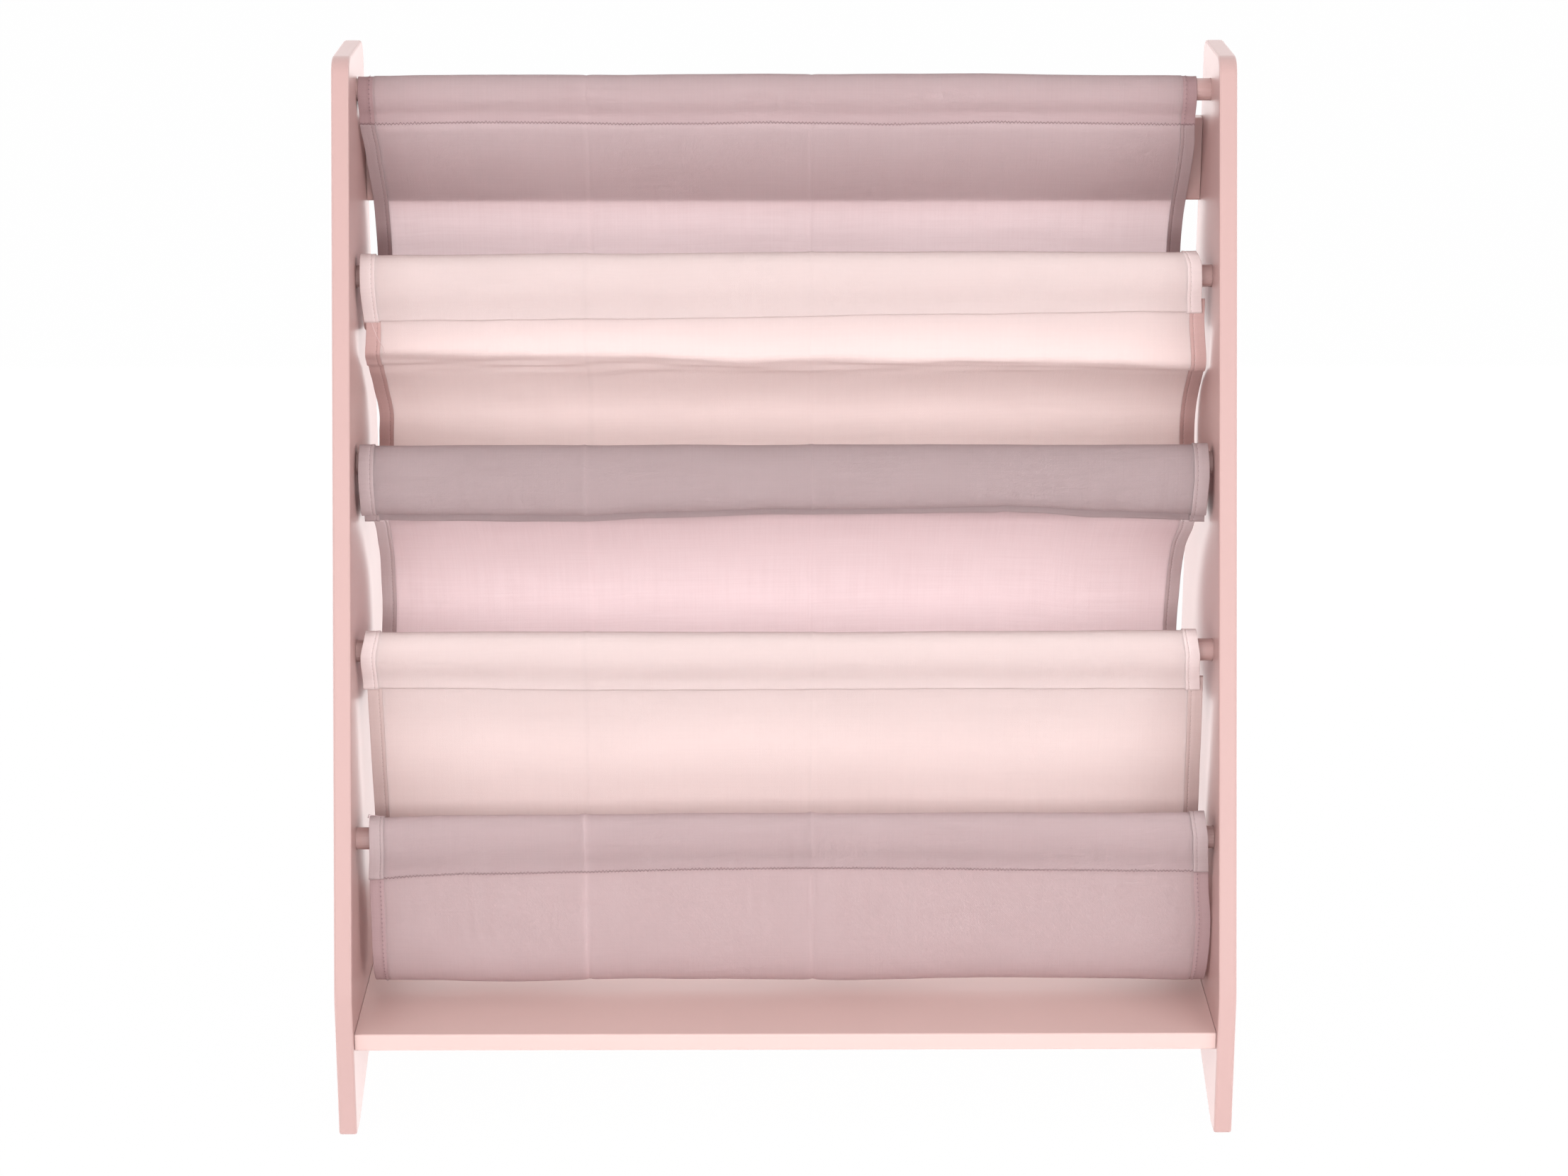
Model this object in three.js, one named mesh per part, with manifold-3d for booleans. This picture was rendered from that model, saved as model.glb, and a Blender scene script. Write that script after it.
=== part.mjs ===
// A child's sling bookshelf: two painted side panels held apart by a bottom shelf and a back rail, five
// rods between them, and four cloth pockets that hang from the rods, each one lower and further forward.
// Millimetres, +Z up, +X to the right of someone who faces the shelf, and the front towards -Y.
// The origin is on the floor, in the middle of the footprint.

import * as THREE from "three";
import { mergeVertices } from "three/addons/utils/BufferGeometryUtils.js";
import Module from "manifold-3d";

// Overall sizes
const WIDTH = 600;
const HEIGHT = 694;
const DEPTH = 272;
const BOARD = 12;
const EDGE_ROUND = 1.5;
const FIT = 0.3;
const OVERRUN = 5;

// Side panel outline
const TOP_DEPTH = 83;
const TOP_FRONT_RADIUS = 14;
const TOP_BACK_RADIUS = 10;
const KINK_HEIGHT = 97.5;
const KINK_INSET = 3.5;
const KINK_RADIUS = 30;
const TOE_RADIUS = 2.5;
const HEEL_RADIUS = 3;
const FOOT_RADIUS = 5;
const FOOT_LENGTH = 18.5;
const ARCH_RISE = 32;
const ARCH_RAMP = 88;
const ARCH_RADIUS = 60;

// Shelf and rail
const SHELF_HEIGHT = 71;
const SHELF_INSET = 7;
const RAIL_HEIGHT = 57.5;

// Rods
const ROD_COUNT = 5;
const ROD_RADIUS = 7.5;
const ROD_SEAT = 8;
const ROD_CHAMFER = 1;
const TOP_ROD_DROP = 28;
const TOP_ROD_FROM_BACK = 43;
const LOW_ROD_ABOVE_SHELF = 117.8;
const LOW_ROD_FROM_FRONT = 65;

// Connector screws and wooden pins
const SCREW_LENGTH = 50;
const SCREW_RADIUS = 2.4;
const SCREW_TIP = 4;
const HEAD_RADIUS = 4.5;
const HEAD_RIM = 0.8;
const HEAD_CONE = 2.6;
const SOCKET_RADIUS = 2.3;
const SOCKET_DEPTH = 2.4;
const PIN_RADIUS = 3;
const PIN_LENGTH = 30;
const PIN_IN_PANEL = 8;
const PIN_CHAMFER = 1;
const SHELF_SCREW_INSET = 48;
const RAIL_SCREW_SPACING = 36;

// Cloth
const CLOTH = 1.2;
const SIDE_PLAY = 5.5;
const SEAM_LAP = 9;
const SLEEVE_SLACK = 16;
const BELLY_BACK = 44;
const BELLY_UNDER_RAIL = 6;
const BELLY_HEIGHT = 40;
const FLOOR_DROP = 15;
const FLOOR_LAP = 10;
const LAST_FLOOR_GAP = 11;
const LAST_BULGE = 12;
const FOLD_DEPTH = 2;
const FOLD_SPACING = 235;

// How finely the curves are cut
const CURVE_STEPS = 6;
const ROD_SIDES = 24;
const SCREW_SIDES = 16;
const SOCKET_SIDES = 6;
const CLOTH_COLUMNS = 10;
const TURN_STEPS = 6;
const SLEEVE_STEPS = 10;
const WALL_STEPS = 12;
const FRONT_STEPS = 7;
const LAP_STEPS = 2;
const WELD = 1e-4;

// How far up the middle of the rail stands, from the second rod to the top one
const RAIL_PLACE_SHARE = 0.55;

// Where the cloth leaves each rod, as an angle up from straight back
const LIFT_TURN = Math.PI * 0.15;

// For each sleeve, from the top rod down, shares of its slack: how far its sewn edge lies ahead of the rod
// and below it, how far its front rounds out, and how high its top arches. The last is a share of the lap:
// the handle of the front's curve above its seam, or below it where the front hangs over the seam.
const SLEEVE_SHARES = [
  { ahead: 0.19, hang: 0.3, bulge: 0.66, lift: 0.97, handle: 0.75 },
  { ahead: 0.56, hang: 0.5, bulge: 0.95, lift: 1.8, handle: 0.75 },
  { ahead: -0.3, hang: 1.2, bulge: 2.1, lift: 1.9, handle: -1.6 },
  { ahead: 0.25, hang: 0.6, bulge: 0.98, lift: 1.25, handle: 0.75 },
  { ahead: 0.56, hang: 0.22, bulge: 0.66, lift: 2.2, handle: 0.75 },
];

// Shares for each pocket, from the top one down: how far its belly goes back from its rod, how high the
// belly is, how low the floor hangs, the handles of the back wall's curve at its seam and at its belly,
// how far the wall leans forward from its seam, and the turn at which its folds begin. The top belly goes
// back as far as the rail lets it, and the last floor hangs over the shelf.
const POCKET_SHARES = [
  { belly: 0.8, floor: 1, seamHandle: 0.1, bellyHandle: 0.35, lean: 0, fold: 0 },
  { back: 1, belly: 1, floor: -0.1, seamHandle: 0.32, bellyHandle: 0.28, lean: 0.05, fold: 0.35 },
  { back: 1.39, belly: 1.07, floor: 1.27, seamHandle: 0.14, bellyHandle: 0.4, lean: -0.16, fold: 0.6 },
  { back: 0.2, belly: 0.95, seamHandle: 0.3, bellyHandle: 0.3, lean: 0, fold: 0.85 },
];

// How far each cloth panel has slid along its rods, as shares of the play at its sides
const BACK_SLIDE_SHARES = [-0.64, 0.18, -0.18, 0.18];
const FRONT_SLIDE_SHARES = [-0.36, -0.07, -0.55, 0.67];

// Handle of a cubic curve that follows a quarter of an ellipse, as a share of its half axis
const ROUND_SHARE = 0.5523;

// Handles of the last pocket's front, ahead of its seam
const LAST_FRONT_SHARES = { low: 1.33, high: 0.5 };

// Sizes that follow from the ones above
const back = DEPTH / 2;
const front = -back;
const panelInner = WIDTH / 2 - BOARD;
const boardEnd = panelInner - FIT;
const rodRise = (HEIGHT - TOP_ROD_DROP - SHELF_HEIGHT - LOW_ROD_ABOVE_SHELF) / (ROD_COUNT - 1);
const rodStep = (DEPTH - TOP_ROD_FROM_BACK - LOW_ROD_FROM_FRONT) / (ROD_COUNT - 1);
const railFront = back - BOARD;
const railMiddle = HEIGHT - TOP_ROD_DROP - (1 - RAIL_PLACE_SHARE) * rodRise;
const railTop = railMiddle + RAIL_HEIGHT / 2;
const railBottom = railMiddle - RAIL_HEIGHT / 2;
const shelfMiddle = SHELF_HEIGHT - BOARD / 2;
const layer = CLOTH + FIT;
const sleeveRadius = ROD_RADIUS + FIT + CLOTH / 2;
const clothHalfWidth = panelInner - SIDE_PLAY;
const LAST_POCKET = POCKET_SHARES.length - 1;

// Finishes
const finish = (color, roughness, metalness = 0) =>
  new THREE.MeshStandardMaterial({ color, roughness, metalness });
const lacquer = finish(0xecd6d1, 0.35);
const mauveCanvas = finish(0xcdb2b5, 0.9);
const paleCanvas = finish(0xf5e4e3, 0.9);
const zincSteel = finish(0xb9bbbf, 0.3, 1);
const beech = finish(0xd8bd94, 0.7);

const perpendicular = (direction) => new THREE.Vector2(-direction.y, direction.x);

const wasm = await Module();
wasm.setup();
const shelf = new THREE.Group();

function add(name, geometry, material) {
  const mesh = new THREE.Mesh(geometry, material);
  mesh.name = name;
  shelf.add(mesh);
}

// Solids that are cut

function solidOf(geometry) {
  const bare = geometry.index ? geometry.toNonIndexed() : geometry.clone();
  bare.deleteAttribute("normal");
  bare.deleteAttribute("uv");
  const merged = mergeVertices(bare, WELD);
  return new wasm.Manifold(
    new wasm.Mesh({
      numProp: 3,
      vertProperties: merged.attributes.position.array,
      triVerts: new Uint32Array(merged.index.array),
    }),
  );
}

function cut(geometry, tools) {
  const solid = tools.reduce((rest, tool) => rest.subtract(solidOf(tool)), solidOf(geometry));
  const { vertProperties, triVerts } = solid.getMesh();
  const result = new THREE.BufferGeometry();
  result.setAttribute("position", new THREE.BufferAttribute(vertProperties, 3));
  result.setIndex(new THREE.BufferAttribute(triVerts, 1));
  result.computeVertexNormals();
  return result;
}

// A closed outline in the YZ plane whose corners are rounded. Each corner is [y, z, radius], and its rounding
// stops halfway along the shorter edge beside it.
function roundedOutline(corners) {
  const shape = new THREE.Shape();
  corners.forEach(([y, z, wanted], i) => {
    const corner = new THREE.Vector2(y, z);
    const towards = (j) => {
      const [ny, nz] = corners[(j + corners.length) % corners.length];
      return new THREE.Vector2(ny, nz).sub(corner);
    };
    const shorter = Math.min(towards(i - 1).length(), towards(i + 1).length());
    const before = towards(i - 1).normalize();
    const after = towards(i + 1).normalize();
    const half = before.angleTo(after) / 2;
    const radius = Math.min(wanted, (shorter / 2) * Math.tan(half));
    const start = corner.clone().addScaledVector(before, radius / Math.tan(half));
    const middle = before.clone().add(after).normalize();
    const centre = corner.clone().addScaledVector(middle, radius / Math.sin(half));
    const end = corner.clone().addScaledVector(after, radius / Math.tan(half));
    const angleOf = (point) => Math.atan2(point.y - centre.y, point.x - centre.x);
    if (i === 0) shape.moveTo(start.x, start.y);
    else shape.lineTo(start.x, start.y);
    shape.absarc(centre.x, centre.y, radius, angleOf(start), angleOf(end), before.cross(after) > 0);
  });
  shape.closePath();
  return shape;
}

// Stands an outline up in the YZ plane, with what is extruded from it along X
const outlineToYZ = new THREE.Matrix4().makeBasis(
  new THREE.Vector3(0, 1, 0),
  new THREE.Vector3(0, 0, 1),
  new THREE.Vector3(1, 0, 0),
);

// An outline in the YZ plane, carried along X from one side to the other, with its long edges rounded over
function board(outline, from, to) {
  const geometry = new THREE.ExtrudeGeometry(outline, {
    depth: to - from - 2 * EDGE_ROUND,
    bevelThickness: EDGE_ROUND,
    bevelSize: EDGE_ROUND,
    bevelOffset: -EDGE_ROUND,
    bevelSegments: 2,
    curveSegments: CURVE_STEPS,
  });
  return geometry.applyMatrix4(outlineToYZ).translate(from + EDGE_ROUND, 0, 0);
}

// A plain board between the panels: its four long edges rounded, its ends cut square
function crossBoard(lowY, highY, lowZ, highZ) {
  const outline = roundedOutline([
    [lowY, lowZ, EDGE_ROUND],
    [highY, lowZ, EDGE_ROUND],
    [highY, highZ, EDGE_ROUND],
    [lowY, highZ, EDGE_ROUND],
  ]);
  const geometry = new THREE.ExtrudeGeometry(outline, {
    depth: 2 * boardEnd,
    bevelEnabled: false,
    curveSegments: 2,
  });
  return geometry.applyMatrix4(outlineToYZ).translate(-boardEnd, 0, 0);
}

// A round piece along X. Each step of the profile is [distance along the axis, radius], from the outer
// end in.
function turned(profile, sides, side, place) {
  const points = profile.map(([along, radius]) => new THREE.Vector2(radius, -along));
  const lowestFirst = [...points].reverse();
  const geometry = new THREE.LatheGeometry(lowestFirst, sides);
  return geometry.rotateZ((-side * Math.PI) / 2).translate(place.x, place.y, place.z);
}

// Rods

function rodCentre(index) {
  return new THREE.Vector2(
    back - TOP_ROD_FROM_BACK - rodStep * index,
    HEIGHT - TOP_ROD_DROP - rodRise * index,
  );
}

const rods = Array.from({ length: ROD_COUNT }, (_, index) => rodCentre(index));

function rodGeometry(centre) {
  const halfLength = panelInner + ROD_SEAT - FIT;
  const profile = [
    [0, 0],
    [0, ROD_RADIUS - ROD_CHAMFER],
    [ROD_CHAMFER, ROD_RADIUS],
    [2 * halfLength - ROD_CHAMFER, ROD_RADIUS],
    [2 * halfLength, ROD_RADIUS - ROD_CHAMFER],
    [2 * halfLength, 0],
  ];
  return turned(profile, ROD_SIDES, 1, new THREE.Vector3(halfLength, centre.x, centre.y));
}

function rodSocket(centre, side) {
  const profile = [
    [0, 0],
    [0, ROD_RADIUS + FIT],
    [ROD_SEAT + OVERRUN, ROD_RADIUS + FIT],
    [ROD_SEAT + OVERRUN, 0],
  ];
  const bottom = side * (panelInner + ROD_SEAT);
  return turned(profile, ROD_SIDES, side, new THREE.Vector3(bottom, centre.x, centre.y));
}

// Fasteners: the screws pass through a panel into a board's end, and the pins keep the board from turning

const fasteners = [
  { on: "shelf", kind: "screw", y: front + SHELF_INSET + SHELF_SCREW_INSET, z: shelfMiddle },
  { on: "shelf", kind: "screw", y: back - SHELF_SCREW_INSET, z: shelfMiddle },
  { on: "shelf", kind: "pin", y: SHELF_INSET / 2, z: shelfMiddle },
  { on: "rail", kind: "screw", y: back - BOARD / 2, z: railMiddle - RAIL_SCREW_SPACING / 2 },
  { on: "rail", kind: "screw", y: back - BOARD / 2, z: railMiddle + RAIL_SCREW_SPACING / 2 },
  { on: "rail", kind: "pin", y: back - BOARD / 2, z: railMiddle },
];

function screwGeometry({ y, z }, side) {
  const neck = HEAD_RIM + HEAD_CONE;
  const profile = [
    [0, 0],
    [0, HEAD_RADIUS],
    [HEAD_RIM, HEAD_RADIUS],
    [neck, SCREW_RADIUS],
    [SCREW_LENGTH - SCREW_TIP, SCREW_RADIUS],
    [SCREW_LENGTH, SCREW_RADIUS / 2],
    [SCREW_LENGTH, 0],
  ];
  const socket = [
    [-OVERRUN, 0],
    [-OVERRUN, SOCKET_RADIUS],
    [SOCKET_DEPTH, SOCKET_RADIUS],
    [SOCKET_DEPTH, 0],
  ];
  const place = new THREE.Vector3(side * (WIDTH / 2 - FIT), y, z);
  return cut(turned(profile, SCREW_SIDES, side, place), [turned(socket, SOCKET_SIDES, side, place)]);
}

function screwBore({ y, z }, side) {
  const neck = HEAD_RIM + HEAD_CONE + FIT;
  const profile = [
    [-OVERRUN, 0],
    [-OVERRUN, HEAD_RADIUS + FIT],
    [HEAD_RIM + FIT, HEAD_RADIUS + FIT],
    [neck, SCREW_RADIUS + FIT],
    [SCREW_LENGTH + FIT, SCREW_RADIUS + FIT],
    [SCREW_LENGTH + FIT, 0],
  ];
  return turned(profile, SCREW_SIDES, side, new THREE.Vector3(side * (WIDTH / 2 - FIT), y, z));
}

function pinGeometry({ y, z }, side) {
  const length = PIN_LENGTH - 2 * FIT;
  const profile = [
    [0, 0],
    [0, PIN_RADIUS - PIN_CHAMFER],
    [PIN_CHAMFER, PIN_RADIUS],
    [length - PIN_CHAMFER, PIN_RADIUS],
    [length, PIN_RADIUS - PIN_CHAMFER],
    [length, 0],
  ];
  const place = new THREE.Vector3(side * (panelInner + PIN_IN_PANEL - FIT), y, z);
  return turned(profile, SCREW_SIDES, side, place);
}

function pinBore({ y, z }, side) {
  const profile = [
    [0, 0],
    [0, PIN_RADIUS + FIT],
    [PIN_LENGTH, PIN_RADIUS + FIT],
    [PIN_LENGTH, 0],
  ];
  return turned(profile, SCREW_SIDES, side, new THREE.Vector3(side * (panelInner + PIN_IN_PANEL), y, z));
}

const boreOf = (fastener, side) =>
  fastener.kind === "screw" ? screwBore(fastener, side) : pinBore(fastener, side);

// Side panels: a straight back, a sloping front that turns down to the foot, and an arch between the feet

function panelOutline() {
  return roundedOutline([
    [front, 0, TOE_RADIUS],
    [front + FOOT_LENGTH, 0, FOOT_RADIUS],
    [front + FOOT_LENGTH + ARCH_RAMP, ARCH_RISE, ARCH_RADIUS],
    [back - FOOT_LENGTH - ARCH_RAMP, ARCH_RISE, ARCH_RADIUS],
    [back - FOOT_LENGTH, 0, FOOT_RADIUS],
    [back, 0, HEEL_RADIUS],
    [back, HEIGHT, TOP_BACK_RADIUS],
    [back - TOP_DEPTH, HEIGHT, TOP_FRONT_RADIUS],
    [front + KINK_INSET, KINK_HEIGHT, KINK_RADIUS],
  ]);
}

for (const [word, side] of [["left", -1], ["right", 1]]) {
  const faces = [side * panelInner, (side * WIDTH) / 2].sort((a, b) => a - b);
  const cuts = [
    ...rods.map((centre) => rodSocket(centre, side)),
    ...fasteners.map((fastener) => boreOf(fastener, side)),
  ];
  add(`side_panel_${word}`, cut(board(panelOutline(), ...faces), cuts), lacquer);
}

// Bottom shelf and back rail

const boresIn = (name) =>
  fasteners.filter(({ on }) => on === name).flatMap((f) => [boreOf(f, -1), boreOf(f, 1)]);

const shelfBoard = crossBoard(front + SHELF_INSET, back, SHELF_HEIGHT - BOARD, SHELF_HEIGHT);
add("bottom_shelf", cut(shelfBoard, boresIn("shelf")), lacquer);
add("back_rail", cut(crossBoard(railFront, back, railBottom, railTop), boresIn("rail")), lacquer);

rods.forEach((centre, index) => add(`rod_${index + 1}`, rodGeometry(centre), lacquer));

for (const [word, side] of [["left", -1], ["right", 1]]) {
  const count = {};
  for (const fastener of fasteners) {
    const place = `${fastener.on}_${fastener.kind}`;
    count[place] = (count[place] ?? 0) + 1;
    const isScrew = fastener.kind === "screw";
    const name = isScrew ? `${place}_${word}_${count[place]}` : `${place}_${word}`;
    const geometry = isScrew ? screwGeometry(fastener, side) : pinGeometry(fastener, side);
    add(name, geometry, isScrew ? zincSteel : beech);
  }
}

// Cloth. A section line runs in the YZ plane, as stations that each have a place, and a sway: how far and
// which way the deepest fold moves it.

const station = (place, sway = new THREE.Vector2()) => ({ place, sway });
const vector = (y, z) => new THREE.Vector2(y, z);

// The lower edge of a sleeve's front, where its layers are sewn together
function seamOf(index) {
  const { ahead, hang } = SLEEVE_SHARES[index];
  const below = sleeveRadius + SEAM_LAP + hang * SLEEVE_SLACK;
  return vector(rods[index].x - ahead * SLEEVE_SLACK, rods[index].y - below);
}

// A sleeve: from its inner layer at the seam up behind the rod, over it, and down its front to the seam
function sleeveLine(index, innerLayers) {
  const rod = rods[index];
  const seam = seamOf(index);
  const { bulge, lift, handle } = SLEEVE_SHARES[index];
  const innerTop = vector(seam.x + innerLayers * layer, seam.y + SEAM_LAP);
  const outerTop = vector(seam.x, seam.y + SEAM_LAP);

  const toLap = innerTop.clone().sub(rod);
  const touch = Math.atan2(toLap.y, toLap.x) + Math.acos(sleeveRadius / toLap.length());
  const onRod = (angle) => vector(Math.cos(angle), Math.sin(angle)).multiplyScalar(sleeveRadius).add(rod);
  const turn = Array.from({ length: TURN_STEPS + 1 }, (_, i) =>
    onRod(touch + (i / TURN_STEPS) * (LIFT_TURN - touch)),
  );

  const lifted = turn[TURN_STEPS];
  const rise = perpendicular(lifted.clone().sub(rod).normalize());
  const sleeveFront = new THREE.CubicBezierCurve(
    lifted,
    lifted.clone().addScaledVector(rise, sleeveRadius + lift * SLEEVE_SLACK),
    vector(rod.x - sleeveRadius - bulge * SLEEVE_SLACK, outerTop.y + handle * SEAM_LAP),
    outerTop,
  );
  const frontPoints = sleeveFront.getSpacedPoints(SLEEVE_STEPS).slice(1);
  return [innerTop, ...turn, ...frontPoints, seam].map((place) => station(place));
}

// A pocket's section, from the seam that its back wall hangs from, down and round its floor, to the next
// seam
function pocketCurve(index) {
  const shares = POCKET_SHARES[index];
  const isLast = index === LAST_POCKET;
  const seam = seamOf(index + 1);
  const top = seamOf(index).add(vector(layer, 0));
  const end = vector(seam.x + (isLast ? 2 : 3) * layer, seam.y);
  const floorHeight = isLast ? SHELF_HEIGHT + LAST_FLOOR_GAP : seam.y - shares.floor * FLOOR_DROP;
  const bellyBack = index ? rods[index].x + shares.back * BELLY_BACK : railFront + BELLY_UNDER_RAIL;
  const belly = vector(bellyBack, floorHeight + shares.belly * BELLY_HEIGHT);
  const floor = vector((belly.x + seam.x) / 2, floorHeight);

  const span = top.distanceTo(belly);
  const wall = new THREE.CubicBezierCurve(
    top,
    vector(top.x - shares.lean * span, top.y - shares.seamHandle * span),
    vector(belly.x, belly.y + shares.bellyHandle * span),
    belly,
  );
  const bellyTurn = new THREE.CubicBezierCurve(
    belly,
    vector(belly.x, belly.y - ROUND_SHARE * (belly.y - floor.y)),
    vector(floor.x + ROUND_SHARE * (belly.x - floor.x), floor.y),
    floor,
  );
  const upperRise = [
    vector(floor.x - ROUND_SHARE * (floor.x - end.x), floor.y),
    vector(end.x, end.y - ROUND_SHARE * (end.y - floor.y)),
  ];
  const lastRise = [
    vector(seam.x - LAST_FRONT_SHARES.low * LAST_BULGE, floor.y),
    vector(seam.x - LAST_FRONT_SHARES.high * LAST_BULGE, (floor.y + end.y) / 2),
  ];
  const curve = new THREE.CurvePath();
  curve.add(wall);
  curve.add(bellyTurn);
  curve.add(new THREE.CubicBezierCurve(floor, ...(isLast ? lastRise : upperRise), end));
  return curve;
}

// Stations along part of a pocket's section, set outwards by some layers of cloth
function pocketStations(curve, from, to, steps, layersOut) {
  return Array.from({ length: steps + 1 }, (_, i) => {
    const share = from + (i / steps) * (to - from);
    const out = perpendicular(curve.getTangent(share));
    const place = curve.getPoint(share).addScaledVector(out, layersOut * layer);
    return station(place, out.multiplyScalar(Math.sin(Math.PI * share) ** 2));
  });
}

// The two panels of a pocket, which lap under its floor: the back wall inside, the front outside
function pocketPanels(index) {
  const curve = pocketCurve(index);
  const [wall, wallAndTurn, whole] = curve.getCurveLengths();
  const lapStart = (wallAndTurn - FLOOR_LAP / 2) / whole;
  const lapEnd = (wallAndTurn + FLOOR_LAP / 2) / whole;
  const seam = seamOf(index);

  const hidden = station(vector(seam.x + layer, seam.y + SEAM_LAP - 2 * FIT));
  const topStations = index === 0 ? sleeveLine(0, 1).reverse() : [hidden];
  const backLine = [
    ...topStations,
    ...pocketStations(curve, 0, lapStart, WALL_STEPS, 0),
    ...pocketStations(curve, lapStart, lapEnd, LAP_STEPS, 0).slice(1),
  ];
  const frontLine = [
    ...pocketStations(curve, lapStart, lapEnd, LAP_STEPS, 1),
    ...pocketStations(curve, lapEnd, 1, FRONT_STEPS, 1).slice(1),
    ...sleeveLine(index + 1, index === LAST_POCKET ? 1 : 2),
  ];
  return { backLine, frontLine };
}

// A line carried across the width as a sheet of cloth, whose soft folds come and go from side to side
function sheet(line, slideShare, phase) {
  const slide = slideShare * SIDE_PLAY;
  const columns = Array.from({ length: CLOTH_COLUMNS + 1 }, (_, i) => {
    const x = clothHalfWidth * ((2 * i) / CLOTH_COLUMNS - 1);
    return i % CLOTH_COLUMNS === 0 ? x + slide : x;
  });
  const positions = [];
  for (const x of columns) {
    const depth = FOLD_DEPTH * Math.cos(2 * Math.PI * (x / FOLD_SPACING + phase));
    const points = line.map(({ place, sway }) => place.clone().addScaledVector(sway, depth));
    points.forEach((point, j) => {
      const next = points[Math.min(j + 1, points.length - 1)];
      const last = points[Math.max(j - 1, 0)];
      const out = perpendicular(next.clone().sub(last).normalize()).multiplyScalar(CLOTH / 2);
      positions.push(x, point.x - out.x, point.y - out.y, x, point.x + out.x, point.y + out.y);
    });
  }
  const rows = line.length - 1;
  const inner = (i, j) => 2 * (i * line.length + j);
  const outer = (i, j) => inner(i, j) + 1;
  const index = [];
  const quad = (a, b, c, d) => index.push(a, b, c, a, c, d);
  for (let i = 0; i < CLOTH_COLUMNS; i++) {
    for (let j = 0; j < rows; j++) {
      quad(outer(i, j), outer(i + 1, j), outer(i + 1, j + 1), outer(i, j + 1));
      quad(inner(i, j), inner(i, j + 1), inner(i + 1, j + 1), inner(i + 1, j));
    }
    quad(inner(i, 0), inner(i + 1, 0), outer(i + 1, 0), outer(i, 0));
    quad(outer(i, rows), outer(i + 1, rows), inner(i + 1, rows), inner(i, rows));
  }
  for (let j = 0; j < rows; j++) {
    quad(outer(0, j), outer(0, j + 1), inner(0, j + 1), inner(0, j));
    const i = CLOTH_COLUMNS;
    quad(inner(i, j), inner(i, j + 1), outer(i, j + 1), outer(i, j));
  }
  const geometry = new THREE.BufferGeometry();
  geometry.setAttribute("position", new THREE.Float32BufferAttribute(positions, 3));
  geometry.setIndex(index);
  geometry.computeVertexNormals();
  return geometry;
}

POCKET_SHARES.forEach(({ fold }, index) => {
  const { backLine, frontLine } = pocketPanels(index);
  const [backCloth, frontCloth] = index % 2 ? [paleCanvas, mauveCanvas] : [mauveCanvas, paleCanvas];
  const name = `pocket_${index + 1}`;
  add(`${name}_back`, sheet(backLine, BACK_SLIDE_SHARES[index], fold), backCloth);
  add(`${name}_front`, sheet(frontLine, FRONT_SLIDE_SHARES[index], fold), frontCloth);
});

export default shelf;
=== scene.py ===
"""A child's sling bookshelf: lacquered boards and rods, four sewn cloth pockets, and the studio round them.

Places are in millimetres inside the cloth's classes and become metres when a mesh is finished. The finishes
and the studio are in metres. X runs to the right of someone who faces the shelf, the front looks towards -Y,
and Z is up.
"""

import logging
import math
from bisect import bisect_right
from dataclasses import dataclass, field, replace
from enum import Enum
from typing import Any, Mapping, Sequence

import bmesh
import bpy
from mathutils import Euler, Matrix, Vector, noise
from mathutils.geometry import interpolate_bezier


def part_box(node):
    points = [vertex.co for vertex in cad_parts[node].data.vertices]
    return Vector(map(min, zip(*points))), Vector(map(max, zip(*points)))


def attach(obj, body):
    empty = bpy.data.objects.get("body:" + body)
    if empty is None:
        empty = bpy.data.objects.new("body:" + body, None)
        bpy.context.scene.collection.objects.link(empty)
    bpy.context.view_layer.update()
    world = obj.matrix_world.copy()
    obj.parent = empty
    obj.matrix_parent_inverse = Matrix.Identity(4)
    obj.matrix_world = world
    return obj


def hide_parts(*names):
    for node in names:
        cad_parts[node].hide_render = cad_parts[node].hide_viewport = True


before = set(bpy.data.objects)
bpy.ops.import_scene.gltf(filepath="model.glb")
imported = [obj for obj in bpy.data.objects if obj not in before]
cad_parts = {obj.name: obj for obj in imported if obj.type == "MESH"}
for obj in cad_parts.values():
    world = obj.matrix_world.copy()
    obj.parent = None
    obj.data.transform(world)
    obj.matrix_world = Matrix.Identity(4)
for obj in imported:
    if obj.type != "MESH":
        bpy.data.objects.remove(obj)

LOG = logging.getLogger("sling_bookshelf")
MM = 0.001
WHITE = (1.0, 1.0, 1.0, 1.0)
# Octaves of a noise texture, from one plain wave to a fine grain.
PLAIN, SOFT, CLOUDY, GRAINY = 1.0, 2.0, 3.0, 4.0
Colour = tuple[float, float, float]
Point = tuple[float, float, float]
Control = tuple[tuple[float, float], ...]


@dataclass(frozen=True)
class Cut:
    """How every panel is cut, hemmed and folded in its package, in millimetres from its left edge."""

    width: float = 565.0
    hem_width: float = 10.0
    stitch_inset: float = 7.4
    stitch_pitch: float = 3.1
    creases: tuple[float, float] = (148.5, 300.5)


CUT = Cut()


def linear(red: int, green: int, blue: int) -> Colour:
    """The linear colour of three sRGB values from 0 to 255.

    Args:
        red: the red value.
        green: the green value.
        blue: the blue value.

    Returns:
        The colour.
    """

    def one(value: int) -> float:
        """One channel, from sRGB to linear."""
        share = value / 255
        return share / 12.92 if share <= 0.04045 else ((share + 0.055) / 1.055) ** 2.4

    return one(red), one(green), one(blue)


# Shader graphs


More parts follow.
